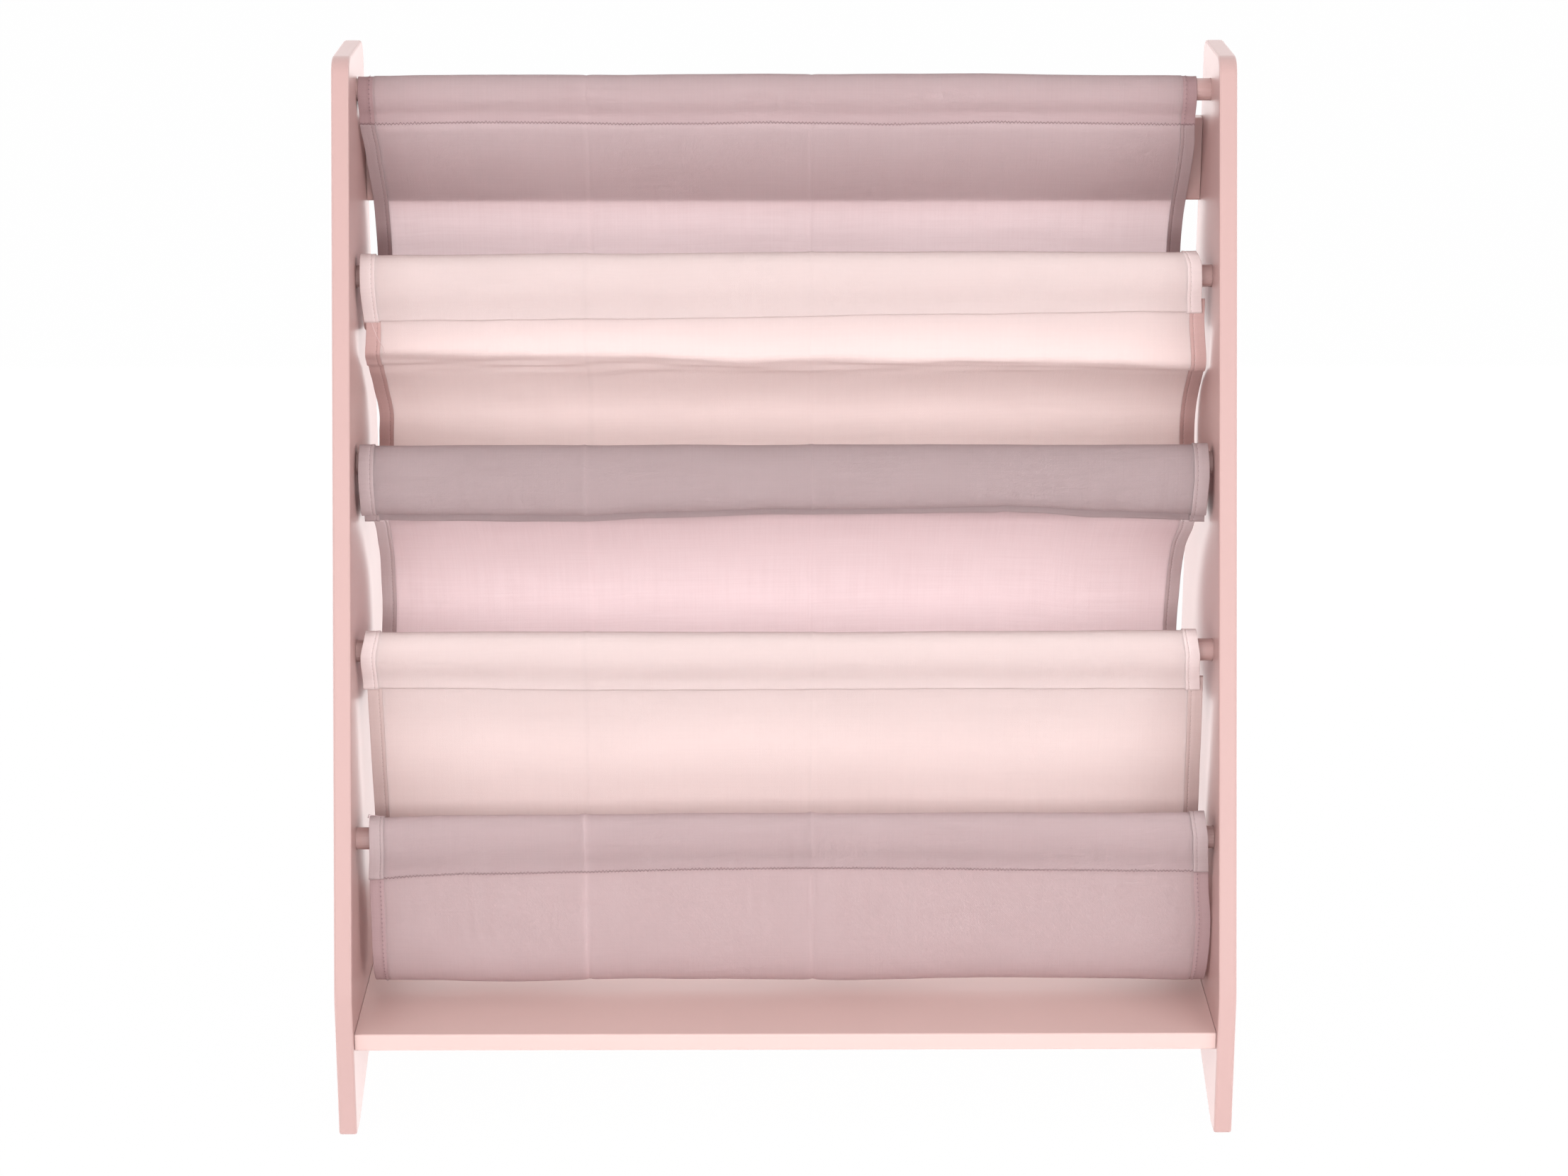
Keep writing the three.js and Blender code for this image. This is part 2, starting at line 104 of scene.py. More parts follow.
class Value:
    """A socket whose Python operators add Math nodes."""

    def __init__(self, graph: "Graph", socket: bpy.types.NodeSocket) -> None:
        """Wraps a socket of a graph."""
        self.graph = graph
        self.socket = socket

    def _math(self, operation: str, *operands: Any) -> "Value":
        """Adds a Math node with the operands in order."""
        inputs = dict(enumerate(operands))
        return self.graph.node("ShaderNodeMath", {"operation": operation}, inputs)

    def __add__(self, other: Any) -> "Value":
        """self + other."""
        return self._math("ADD", self, other)

    def __radd__(self, other: Any) -> "Value":
        """other + self."""
        return self._math("ADD", other, self)

    def __sub__(self, other: Any) -> "Value":
        """self - other."""
        return self._math("SUBTRACT", self, other)

    def __rsub__(self, other: Any) -> "Value":
        """other - self."""
        return self._math("SUBTRACT", other, self)

    def __mul__(self, other: Any) -> "Value":
        """self * other."""
        return self._math("MULTIPLY", self, other)

    def __rmul__(self, other: Any) -> "Value":
        """other * self."""
        return self._math("MULTIPLY", other, self)

    def __truediv__(self, other: Any) -> "Value":
        """self / other."""
        return self._math("DIVIDE", self, other)

    @property
    def centred(self) -> "Value":
        """A noise from 0 to 1, moved to swing about zero."""
        return self - 0.5

    def sine(self) -> "Value":
        """The sine of an angle in radians."""
        return self._math("SINE", self)

    def size(self) -> "Value":
        """The value without its sign."""
        return self._math("ABSOLUTE", self)

    def least(self, other: Any) -> "Value":
        """The smaller of this value and another."""
        return self._math("MINIMUM", self, other)

    def most(self, other: Any) -> "Value":
        """The larger of this value and another."""
        return self._math("MAXIMUM", self, other)

    def clamped(self) -> "Value":
        """The value held between 0 and 1."""
        return self.least(1.0).most(0.0)

    def repeated(self, pitch: float) -> "Value":
        """How far the value is from the nearest odd multiple of half a pitch."""
        return self._math("PINGPONG", self + pitch / 2, pitch / 2)


class Graph:
    """The node tree of one material or world, cleared and ready to be filled."""

    def __init__(self, tree: bpy.types.NodeTree) -> None:
        """Empties the tree."""
        self.tree = tree
        tree.nodes.clear()

    def node(
        self,
        kind: str,
        settings: Mapping[str, Any] | None = None,
        inputs: Mapping[int | str, Any] | None = None,
        output: int | str = 0,
    ) -> Value:
        """Adds a node.

        Args:
            kind: the node's type name.
            settings: its properties, set first.
            inputs: numbers, tuples or Values for its sockets, by index or name.
            output: the socket that is handed back.

        Returns:
            The chosen output as a Value.
        """
        made = self.tree.nodes.new(kind)
        for name, setting in (settings or {}).items():
            setattr(made, name, setting)
        for key, value in (inputs or {}).items():
            if isinstance(value, Value):
                self.tree.links.new(value.socket, made.inputs[key])
            else:
                made.inputs[key].default_value = value
        return Value(self, made.outputs[output] if made.outputs else made.inputs[0])

    def place(self) -> Value:
        """The place on the object, in metres."""
        return self.node("ShaderNodeTexCoord", {}, {}, "Object")

    def noise(self, place: Value, per_metre: float | Point, octaves: float = SOFT) -> Value:
        """Soft noise from 0 to 1.

        Args:
            place: where it is read.
            per_metre: its scale, or one scale for each direction.
            octaves: how fine it gets.

        Returns:
            The noise.
        """
        if isinstance(per_metre, tuple):
            place = self.node("ShaderNodeMapping", {}, {"Vector": place, "Scale": per_metre})
            per_metre = 1.0
        inputs = {"Vector": place, "Scale": per_metre, "Detail": octaves}
        return self.node("ShaderNodeTexNoise", {}, inputs, "Fac")

    def shaded(self, colour: Colour | Value, amount: Value) -> Value:
        """A colour made lighter or darker by a Value near 1."""
        grey = self.node("ShaderNodeCombineXYZ", {}, {0: amount, 1: amount, 2: amount})
        return self.node("ShaderNodeVectorMath", {"operation": "MULTIPLY"}, {0: colour, 1: grey})

    def mixed(self, share: Value, first: Colour, second: Colour) -> Value:
        """A colour between two, by a share."""
        # A Mix node's colours are its sockets 6 and 7, and the mixed colour is its output 2.
        inputs = {"Factor": share, 6: (*first, 1.0), 7: (*second, 1.0)}
        return self.node("ShaderNodeMix", {"data_type": "RGBA"}, inputs, 2)

    def bump(self, height: Value, strength: float, distance: float) -> Value:
        """A normal from a height."""
        inputs = {"Height": height, "Strength": strength, "Distance": distance}
        return self.node("ShaderNodeBump", {}, inputs, "Normal")

    def principled(self, inputs: Mapping[int | str, Any]) -> Value:
        """A Principled shader."""
        return self.node("ShaderNodeBsdfPrincipled", {}, inputs)

    def white(self, kind: str, strength: float) -> Value:
        """A shader of one kind that gives white light."""
        return self.node(kind, {}, {"Color": WHITE, "Strength": strength})

    def blended(self, share: Value, first: Value, second: Value) -> Value:
        """One shader that passes into another by a share."""
        return self.node("ShaderNodeMixShader", {}, {0: share, 1: first, 2: second})

    def seen_by(self, rays: str) -> Value:
        """1 for the rays of one kind, and 0 for the others."""
        return self.node("ShaderNodeLightPath", {}, {}, f"Is {rays} Ray")


# Finishes


@dataclass(frozen=True)
class Finish:
    """A named material, for which each kind of finish draws its own shader."""

    name: str

    def material(self) -> bpy.types.Material:
        """Builds the material.

        Returns:
            The new material.
        """
        made = bpy.data.materials.new(self.name)
        made.use_nodes = True
        graph = Graph(made.node_tree)
        graph.node("ShaderNodeOutputMaterial", {}, {"Surface": self.shader(graph)})
        return made

    def shader(self, graph: Graph) -> Value:
        """Draws the shader."""
        raise NotImplementedError


@dataclass(frozen=True)
class Lacquer(Finish):
    """Satin lacquer sprayed on fibreboard: a faint ripple, and a slightly uneven sheen."""

    name: str = "pink_lacquer"
    colour: Colour = linear(178, 142, 138)
    tint_change: float = 0.05
    cloud_per_metre: float = 9.0
    ripple_per_metre: float = 420.0
    grain_per_metre: float = 2600.0
    roughness: float = 0.42
    cloud_roughness: float = 0.1
    grain_roughness: float = 0.06
    shine: float = 1.0
    refraction: float = 1.5
    grain_share: float = 0.15
    ripple_strength: float = 0.35
    ripple_height: float = 0.00006

    def shader(self, graph: Graph) -> Value:
        """Draws the shader.

        Args:
            graph: the material's nodes.

        Returns:
            The shader.
        """
        place = graph.place()
        cloud = graph.noise(place, self.cloud_per_metre, CLOUDY)
        ripple = graph.noise(place, self.ripple_per_metre)
        grain = graph.noise(place, self.grain_per_metre)
        rough = self.roughness + cloud.centred * self.cloud_roughness + grain.centred * self.grain_roughness
        height = ripple + grain * self.grain_share
        return graph.principled(
            {
                "Base Color": graph.shaded(self.colour, 1.0 + cloud.centred * self.tint_change),
                "Roughness": rough,
                "IOR": self.refraction,
                "Specular IOR Level": self.shine,
                "Normal": graph.bump(height, self.ripple_strength, self.ripple_height),
            }
        )


@dataclass(frozen=True)
class Canvas(Finish):
    """Cotton canvas that light comes through: twill ribs, slubs along both threads, and needle holes.

    Where it is folded double at its hems, hardly any light comes through, and it takes the colour given for
    its hems, a painted shade in place of the shade there. Along its creases it gets painted light where the
    tint is positive, and painted shade where it is negative. The heights of slubs, fuzz and holes are in parts
    of a rib's height.
    """

    colour: Colour
    through: Colour
    light_share: float
    twill_share: float
    # The hems' painted shade: a darker colour in place of the shade where the cloth lies doubled.
    hem_shade_colour: Colour | None = None
    # Painted light along the creases where positive, and painted shade where negative.
    painted_crease_shading: float = 0.05
    hem_blur: float = 0.0004
    hem_shadow: float = 0.8
    rib_pitch: float = 0.00078
    thread_pitch: float = 0.00048
    weave_change: float = 0.07
    slub_change: float = 0.07
    light_change: float = 0.35
    streaks_per_metre: float = 760.0
    streak_length_share: float = 0.022
    cloud_per_metre: float = 14.0
    cloud_change: float = 0.05
    fuzz_per_metre: float = 5200.0
    fuzz_change: float = 0.06
    crease_width: float = 0.0034
    second_crease_share: float = 0.3
    hole_radius: float = 0.00045
    hole_core: float = 1.4
    hole_shade: float = 0.45
    roughness: float = 0.92
    fuzz_roughness: float = 0.08
    shine: float = 0.2
    sheen: float = 0.08
    sheen_roughness: float = 0.5
    rib_height: float = 0.00012
    rib_strength: float = 0.6
    slub_height: float = 1.6
    fuzz_height: float = 0.8
    hole_depth: float = 3.0

    def shader(self, graph: Graph) -> Value:
        """Draws the shader, which reads the cloth's own map in metres.

        Args:
            graph: the material's nodes.

        Returns:
            The shader.
        """
        cloth = graph.node("ShaderNodeUVMap", {"uv_map": "cloth"}, {}, "UV")
        across = graph.node("ShaderNodeSeparateXYZ", {}, {0: cloth}, 0)
        along = Value(graph, across.socket.node.outputs[1])
        turn = 2 * math.pi
        ribs = ((across + along) * (turn / self.rib_pitch)).sine()
        warp = (across * (turn / self.thread_pitch)).sine()
        weft = (along * (turn / self.thread_pitch)).sine()
        weave = ribs * self.twill_share + warp * weft * (1 - self.twill_share)

        fine, coarse = self.streaks_per_metre, self.streaks_per_metre * self.streak_length_share
        streaks = graph.noise(cloth, (fine, coarse, 1.0), CLOUDY)
        slubs = graph.noise(cloth, (coarse, fine, 1.0), CLOUDY)
        cloud = graph.noise(cloth, self.cloud_per_metre, CLOUDY)
        fuzz = graph.noise(cloth, self.fuzz_per_metre, PLAIN)
        threads = streaks.centred + slubs.centred
        holes, doubled = self._holes(across, along), self._doubled(across)
        tint = 1.0 + threads * self.slub_change + weave * self.weave_change
        tint = tint + cloud.centred * self.cloud_change + fuzz.centred * self.fuzz_change
        # Painted light and shade along the creases, in place of how their ridges catch the light.
        tint = tint * (1 - holes * self.hole_shade) + self._creases(across) * self.painted_crease_shading
        # Painted shade: the hems take their darker colour.
        base = graph.mixed(doubled, self.colour, self.hem_shade_colour or self.colour)
        height = weave + threads * self.slub_height + fuzz.centred * self.fuzz_height - holes * self.hole_depth
        normal = graph.bump(height, self.rib_strength, self.rib_height)

        front = graph.principled(
            {
                "Base Color": graph.shaded(base, tint),
                "Roughness": self.roughness + fuzz.centred * self.fuzz_roughness,
                "Specular IOR Level": self.shine,
                "Sheen Weight": self.sheen,
                "Sheen Roughness": self.sheen_roughness,
                "Normal": normal,
            }
        )
        inputs = {"Color": (*self.through, 1.0), "Normal": normal}
        through = graph.node("ShaderNodeBsdfTranslucent", {}, inputs)
        share = self.light_share * (1 + threads * self.light_change) * (1 - doubled * self.hem_shadow)
        return graph.blended(share, front, through)

    def with_painted_shade(self, look: "PanelLook") -> "Canvas":
        """The canvas darkened by a panel's painted shade, with its hems' painted shade and its crease shading.

        Args:
            look: how the panel differs from its fellows.

        Returns:
            The panel's canvas.
        """
        return replace(
            self,
            # Painted shade over the whole panel, in its colour and in the light through it.
            colour=tuple(look.dye * channel for channel in self.colour),
            through=tuple(look.dye * channel for channel in self.through),
            hem_shade_colour=look.hem_shade,
            painted_crease_shading=self.painted_crease_shading if look.painted_crease_shading is None else look.painted_crease_shading,
        )

    def folded(self, tone: Colour | None) -> "Canvas":
        """The same canvas in the painted shade that it takes where it is folded back, if that shows."""
        return replace(self, colour=tone or self.colour)

    def _doubled(self, across: Value) -> Value:
        """A mask of the two hems."""
        from_edge = across.least(CUT.width * MM - across)
        return ((CUT.hem_width * MM - from_edge) / self.hem_blur).clamped()

    def _creases(self, across: Value) -> Value:
        """A mask of the two lines where the cloth was folded in its package, on which light and shade are
        painted.

        Args:
            across: the place across the cloth.

        Returns:
            1 on the first line, less on the second, which is fainter, and 0 elsewhere.
        """
        first, second = (
            (1 - (across - place * MM).size() / self.crease_width).clamped() for place in CUT.creases
        )
        return first + second * self.second_crease_share

    def _holes(self, across: Value, along: Value) -> Value:
        """A mask of the needle's holes along both hems.

        Args:
            across: the place across the cloth.
            along: the place along it.

        Returns:
            1 in a hole and 0 between them.
        """
        from_left = (across - CUT.stitch_inset * MM).size()
        from_right = (across - (CUT.width - CUT.stitch_inset) * MM).size()
        aside = from_left.least(from_right) / self.hole_radius
        between = along.repeated(CUT.stitch_pitch * MM) / self.hole_radius
        return (self.hole_core - (aside * aside + between * between)).clamped()


@dataclass(frozen=True)
class SewingThread(Finish):
    """Matt polyester thread, twisted."""

    colour: Colour
    twist_per_metre: float = 2400.0
    darkest: float = 0.85
    tint_change: float = 0.3
    roughness: float = 0.75
    twist_roughness: float = 0.2
    twist_strength: float = 0.4
    twist_height: float = 0.0001

    def shader(self, graph: Graph) -> Value:
        """Draws the shader.

        Args:
            graph: the material's nodes.

        Returns:
            The shader.
        """
        twist = graph.noise(graph.place(), self.twist_per_metre)
        return graph.principled(
            {
                "Base Color": graph.shaded(self.colour, self.darkest + twist * self.tint_change),
                "Roughness": self.roughness + twist.centred * self.twist_roughness,
                "Normal": graph.bump(twist, self.twist_strength, self.twist_height),
            }
        )


@dataclass(frozen=True)
class ZincSteel(Finish):
    """Zinc-plated steel, slightly cloudy, with fine turning marks."""

    name: str = "zinc_steel"
    colour: Colour = linear(196, 198, 203)
    cloud_per_metre: float = 350.0
    marks_per_metre: Point = (9000.0, 900.0, 900.0)
    darkest: float = 0.9
    tint_change: float = 0.2
    smoothest: float = 0.22
    cloud_roughness: float = 0.16
    mark_strength: float = 0.3
    mark_height: float = 0.00004

    def shader(self, graph: Graph) -> Value:
        """Draws the shader.

        Args:
            graph: the material's nodes.

        Returns:
            The shader.
        """
        place = graph.place()
        cloud = graph.noise(place, self.cloud_per_metre, GRAINY)
        marks = graph.noise(place, self.marks_per_metre, PLAIN)
        return graph.principled(
            {
                "Base Color": graph.shaded(self.colour, self.darkest + cloud * self.tint_change),
                "Metallic": 1.0,
                "Roughness": self.smoothest + cloud * self.cloud_roughness,
                "Normal": graph.bump(marks, self.mark_strength, self.mark_height),
            }
        )


@dataclass(frozen=True)
class Beech(Finish):
    """Bare turned beech with its short dark flecks along the grain."""

    name: str = "beech"
    light: Colour = linear(222, 192, 150)
    dark: Colour = linear(180, 138, 96)
    grain_per_metre: Point = (60.0, 900.0, 900.0)
    flecks_per_metre: Point = (300.0, 2600.0, 2600.0)
    fleck_share: float = 0.3
    smoothest: float = 0.62
    grain_roughness: float = 0.15
    grain_strength: float = 0.3
    grain_height: float = 0.0001

    def shader(self, graph: Graph) -> Value:
        """Draws the shader.

        Args:
            graph: the material's nodes.

        Returns:
            The shader.
        """
        place = graph.place()
        grain = graph.noise(place, self.grain_per_metre, GRAINY)
        flecks = graph.noise(place, self.flecks_per_metre, PLAIN)
        darkness = grain * (1 - self.fleck_share) + flecks * self.fleck_share
        return graph.principled(
            {
                "Base Color": graph.mixed(darkness, self.light, self.dark),
                "Roughness": self.smoothest + grain * self.grain_roughness,
                "Normal": graph.bump(grain, self.grain_strength, self.grain_height),
            }
        )


# Meshes and objects


def placed(name: str, data: bpy.types.ID) -> bpy.types.Object:
    """Puts a new object in the scene, at the origin.

    Args:
        name: the object's name.
        data: its mesh, lamp or camera.

    Returns:
        The new object.
    """
    made = bpy.data.objects.new(name, data)
    bpy.context.scene.collection.objects.link(made)
    return made


def finished(bm: bmesh.types.BMesh, name: str, material: bpy.types.Material) -> bpy.types.Object:
    """Makes an object of a bmesh, in one material.

    Args:
        bm: the bmesh, which is freed.
        name: the object's name.
        material: its material.

    Returns:
        The new object.
    """
    mesh = bpy.data.meshes.new(name)
    bm.to_mesh(mesh)
    bm.free()
    mesh.materials.append(material)
    return placed(name, mesh)


def thread_along(
    paths: Sequence[Sequence[Vector]], name: str, radius: float, material: bpy.types.Material
) -> bpy.types.Object:
    """A round thread along each of some paths, as one mesh.

    Args:
        paths: the points of each thread, in millimetres.
        name: the object's name.
        radius: the thread's radius.
        material: its material.

    Returns:
        The new object.
    """
    data = bpy.data.curves.new(name, "CURVE")
    data.dimensions = "3D"
    data.bevel_depth = radius * MM
    data.bevel_resolution = 0
    data.use_fill_caps = True
    for path in paths:
        spline = data.splines.new("POLY")
        spline.points.add(len(path) - 1)
        for point, place in zip(spline.points, path):
            point.co = (*(place * MM), 1.0)
    curve = bpy.data.objects.new(name, data)
    mesh = bpy.data.meshes.new_from_object(curve)
    bpy.data.objects.remove(curve)
    mesh.name = name
    for face in mesh.polygons:
        face.use_smooth = True
    mesh.materials.clear()
    mesh.materials.append(material)
    return placed(name, mesh)


def joined(parts: Sequence[bpy.types.Object], name: str) -> bpy.types.Object:
    """Joins objects with alike modifiers into the first of them.

    Args:
        parts: the objects.
        name: the name that the joined object gets.

    Returns:
        The joined object.
    """
    first = parts[0]
    with bpy.context.temp_override(
        active_object=first, object=first, selected_editable_objects=list(parts)
    ):
        bpy.ops.object.join()
    first.name = name
    first.data.name = name
    return first


# Sections: the cloth's line in the YZ plane


class Line:
    """A line of points that can be walked by length."""

    def __init__(self, points: Sequence[Vector]) -> None:
        """Measures the line.

        Args:
            points: its points, in order.
        """
        self.points = list(points)
        self.runs = [0.0]
        for before, after in zip(self.points, self.points[1:]):
            self.runs.append(self.runs[-1] + (after - before).length)

    @property
    def length(self) -> float:
        """The whole length."""
        return self.runs[-1]

    def at(self, run: float) -> Vector:
        """The point that lies a length along the line.

        Args:
            run: the length from the start, which is kept within the line.

        Returns:
            The point.
        """
        run = min(max(run, 0.0), self.length)
        i = min(bisect_right(self.runs, run), len(self.runs) - 1)
        span = self.runs[i] - self.runs[i - 1]
        share = (run - self.runs[i - 1]) / span if span else 0.0
        return self.points[i - 1].lerp(self.points[i], share)

    def part(self, low: float, high: float, steps: int) -> list[Vector]:
        """Evenly spaced points between two lengths."""
        return [self.at(low + (high - low) * i / steps) for i in range(steps + 1)]


def perpendicular(direction: Vector) -> Vector:
    """A direction in the YZ plane, turned a quarter turn."""
    return Vector((-direction.y, direction.x))


def outwards(points: Sequence[Vector]) -> list[Vector]:
    """The direction square to a line at each of its points.

    Args:
        points: the line's points in the YZ plane.

    Returns:
        A unit vector for each point.
    """
    last = len(points) - 1
    return [
        perpendicular(points[min(i + 1, last)] - points[max(i - 1, 0)]).normalized()
        for i in range(len(points))
    ]


def offset(points: Sequence[Vector], distance: float) -> list[Vector]:
    """A line set outwards by a distance."""
    return [p + out * distance for p, out in zip(points, outwards(points))]


def eased(share: float) -> float:
    """A share from 0 to 1, eased at both ends."""
    share = min(max(share, 0.0), 1.0)
    return share * share * (3 - 2 * share)


def eased_between(controls: Control, share: float) -> float:
    """A smooth value between (place, value) pairs, level beyond the first and the last.

    Args:
        controls: the pairs, in the order of their places.
        share: the place to read.

    Returns:
        The value there.
    """
    if share <= controls[0][0]:
        return controls[0][1]
    for (low, first), (high, second) in zip(controls, controls[1:]):
        if share <= high:
            return first + (second - first) * eased((share - low) / (high - low))
    return controls[-1][1]


def curve(start: Vector, leaving: Vector, arriving: Vector, end: Vector, steps: int) -> list[Vector]:
    """A Bezier curve's points in the YZ plane."""
    return [point.xy for point in interpolate_bezier(start, leaving, arriving, end, steps)]


@dataclass(frozen=True)
class Ripple:
    """Smooth noise by its height, how fast it changes in three directions, and where it starts.

    Of several octaves, each is faster than the one before by octave_step, and smaller by that step to the
    power of evenness.
    """

    height: float
    pace: Point
    start: Point = (0.0, 0.0, 0.0)
    octaves: int = 1
    evenness: float = 1.0
    octave_step: float = 2.0

    def at(self, x: float, y: float, z: float = 0.0) -> float:
        """The noise at a place.

        Args:
            x: the place in the first direction.
            y: the place in the second.
            z: the place in the third.

        Returns:
            The noise, which swings about zero.
        """
        steps = zip((x, y, z), self.pace, self.start)
        place = Vector([value * pace + start for value, pace, start in steps])
        if self.octaves > 1:
            return self.height * noise.fractal(place, self.evenness, self.octave_step, self.octaves)
        return self.height * noise.noise(place)


@dataclass(frozen=True)
class Sleeve:
    """The shape of one sleeve.

    ahead, hang, bulge and lift are shares of the slack, and handle is a share of the seam's lap. droop and loft
    are in millimetres at places along the rod, and ease is how many times the front's line is softened.
    """

    ahead: float
    hang: float
    bulge: float
    lift: float
    handle: float
    droop: Control
    loft: Control
    ease: int = 40


@dataclass(frozen=True)
class Pocket:
    """How one pocket hangs, and how its two panels lie between the side panels.

    belly, floor and back are shares of the section's belly height, floor drop and belly distance. The handles
    and lean are shares of the wall's span. back_left to front_right say how far inwards of their nominal place
    the side edges lie, in millimetres at shares of the panel's length, from a back panel's first edge or from a
    front panel's edge in the floor. fold is where the broad folds start, as a share of their spacing, and
    front_sway is how much of them the front takes. bend says how far below its seam the wall stops hanging
    straight, at places along the rod.
    """

    belly: float
    floor: float
    seam_handle: float
    belly_handle: float
    back_left: Control
    back_right: Control
    front_left: Control
    front_right: Control
    back: float = 0.0
    lean: float = 0.0
    fold: float = 0.0
    front_sway: float = 1.0
    bend: Control | None = None


@dataclass
class SlingSection:
    """How the cloth runs over the rods and through the pockets, at any place along the rods.

    The lines leave room for sheets as thick as the frame's, which are thicker than the canvas.
    """

    sleeves: Sequence[Sleeve]
    pockets: Sequence[Pocket]
    # The cloth and its seams
    thickness: float = 1.2
    fit: float = 0.3
    half_width: float = CUT.width / 2
    seam_lap: float = 9.0
    tuck: float = 5.0
    # The sleeves
    slack: float = 16.0
    droop_wave: Ripple = Ripple(0.35, (9.0, 7.3, 0.0))
    ahead_wave: Ripple = Ripple(0.7, (6.5, 5.1, 0.0), (0.0, 0.0, 4.0))
    lift_turn: float = math.pi * 0.15
    # The pockets' walls and floors
    belly_back: float = 44.0
    belly_under_rail: float = 6.0
    belly_height: float = 40.0
    floor_drop: float = 15.0
    floor_lap: float = 10.0
    round_share: float = 0.5523
    # The lowest pocket, which hangs over the shelf
    last_floor_gap: float = 11.0
    last_bulge: float = 12.0
    last_bulge_low: float = 1.33
    last_bulge_high: float = 0.5
    # A wall that bends below its seam
    bend_ahead: float = 1.5
    bend_handle: float = 0.22
    bend_ease: int = 2
    # The top pocket's wall, which lies on the rail
    rail_gap: float = 0.5
    rail_touch: float = 1.0
    rail_margin: float = 0.5
    rail_turn: tuple[float, float] = (0.12, -0.35)
    parts_above_rail_edge: float = 3.0
    parts_below_rail_edge: float = 2.4
    rail_leaving: float = 0.8
    # Broad folds along the rods
    fold_depth: float = 2.0
    fold_spacing: float = 235.0
    # Steps on each line
    curve_points: int = 40
    hung_points: int = 64
    lap_points: int = 12
    straight_points: int = 8
    # Taken from the frame
    rods: list[Vector] = field(init=False)
    rod_radius: float = field(init=False)
    rail_front: float = field(init=False)
    rail_bottom: float = field(init=False)
    shelf_top: float = field(init=False)
    layer: float = field(init=False)
    sleeve_radius: float = field(init=False)

    def __post_init__(self) -> None:
        """Takes the rods, the rail and the shelf from the frame."""
        boxes = [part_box(f"rod_{index + 1}") for index in range(len(self.sleeves))]
        middles = [(low + high) / (2 * MM) for low, high in boxes]
        self.rods = [Vector((middle.y, middle.z)) for middle in middles]
        low, high = boxes[-1]
        self.rod_radius = (high.z - low.z) / (2 * MM)
        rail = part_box("back_rail")[0] / MM
        self.rail_front, self.rail_bottom = rail.y, rail.z
        self.shelf_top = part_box("bottom_shelf")[1].z / MM
        self.layer = self.thickness + self.fit
        self.sleeve_radius = self.rod_radius + self.fit + self.thickness / 2

    def seam(self, index: int, share: float) -> Vector:
        """The lower edge of a sleeve's front.

        Args:
            index: which sleeve, from the top.
            share: the place along the rods, from -1 to 1.

        Returns:
            Its place in the YZ plane.
        """
        sleeve, rod = self.sleeves[index], self.rods[index]
        below = self.sleeve_radius + self.seam_lap + sleeve.hang * self.slack
        drop = eased_between(sleeve.droop, share) + self.droop_wave.at(share, index)
        ahead = self.ahead_wave.at(share, index)
        return Vector((rod.x - sleeve.ahead * self.slack - ahead, rod.y - below - drop))

    def sleeve(self, index: int, layers: int, share: float) -> list[list[Vector]]:
        """A sleeve's line.

        Args:
            index: which sleeve, from the top.
            layers: how many layers of cloth lie between its front and its lap.
            share: the place along the rods, from -1 to 1.

        Returns:
            Its lap behind, its turn over the rod, its front, and its lower edge.
        """
        rod, seam, shape = self.rods[index], self.seam(index, share), self.sleeves[index]
        inner_top = seam + Vector((layers * self.layer, self.seam_lap))
        outer_top = seam + Vector((0.0, self.seam_lap))
        to_lap = inner_top - rod
        touch = math.atan2(to_lap.y, to_lap.x) + math.acos(self.sleeve_radius / to_lap.length)
        steps = self.curve_points
        turn = []
        for i in range(steps + 1):
            angle = touch + (i / steps) * (self.lift_turn - touch)
            turn.append(rod + Vector((math.cos(angle), math.sin(angle))) * self.sleeve_radius)
        lifted = turn[-1]
        rise = perpendicular((lifted - rod).normalized())
        loft = eased_between(shape.loft, share)
        high = lifted + rise * (self.sleeve_radius + shape.lift * self.slack + loft)
        ahead = rod.x - self.sleeve_radius - shape.bulge * self.slack
        low = Vector((ahead, outer_top.y + shape.handle * self.seam_lap))
        hung = Line([*curve(lifted, high, low, outer_top, steps), seam])
        hung = Line(self._softened(hung.part(0.0, hung.length, self.hung_points), shape.ease))
        corner = hung.length - self.seam_lap
        lower_edge = hung.part(corner, hung.length, self.lap_points)
        return [[inner_top, turn[0]], turn, hung.part(0.0, corner, steps), lower_edge]

    def pocket(self, index: int, share: float) -> tuple[Line, float]:
        """A pocket's section from the seam its back wall hangs from to the next seam.

        Args:
            index: which pocket, from the top.
            share: the place along the rods, from -1 to 1.

        Returns:
            The section, and its length down to the middle of the floor.
        """
        shape, seam = self.pockets[index], self.seam(index + 1, share)
        first, last = index == 0, index == len(self.pockets) - 1
        layers = 2 if last else 3
        top = self.seam(index, share) + Vector((self.layer, 0.0))
        end = Vector((seam.x + layers * self.layer, seam.y))
        floor_height = self.seam(index + 1, 0.0).y - shape.floor * self.floor_drop
        belly_y = self.rods[index].x + shape.back * self.belly_back
        if last:
            floor_height = self.shelf_top + self.last_floor_gap
        if first:
            belly_y = self.rail_front + self.belly_under_rail
        belly = Vector((belly_y, floor_height + shape.belly * self.belly_height))
        floor = Vector(((belly.x + seam.x) / 2, floor_height))
        reach = self.round_share
        under_belly = Vector((belly.x, belly.y - reach * (belly.y - floor.y)))
        behind_floor = Vector((floor.x + reach * (belly.x - floor.x), floor.y))
        if last:
            low = Vector((seam.x - self.last_bulge_low * self.last_bulge, floor.y))
            high = Vector((seam.x - self.last_bulge_high * self.last_bulge, (floor.y + end.y) / 2))
        else:
            low = Vector((floor.x - reach * (floor.x - end.x), floor.y))
            high = Vector((end.x, end.y - reach * (end.y - floor.y)))
        down = self._wall(index, top, belly, share)
        down += curve(belly, under_belly, behind_floor, floor, self.curve_points)[1:]
        whole = down + curve(floor, low, high, end, self.curve_points)[1:]
        return Line(whole), Line(down).length

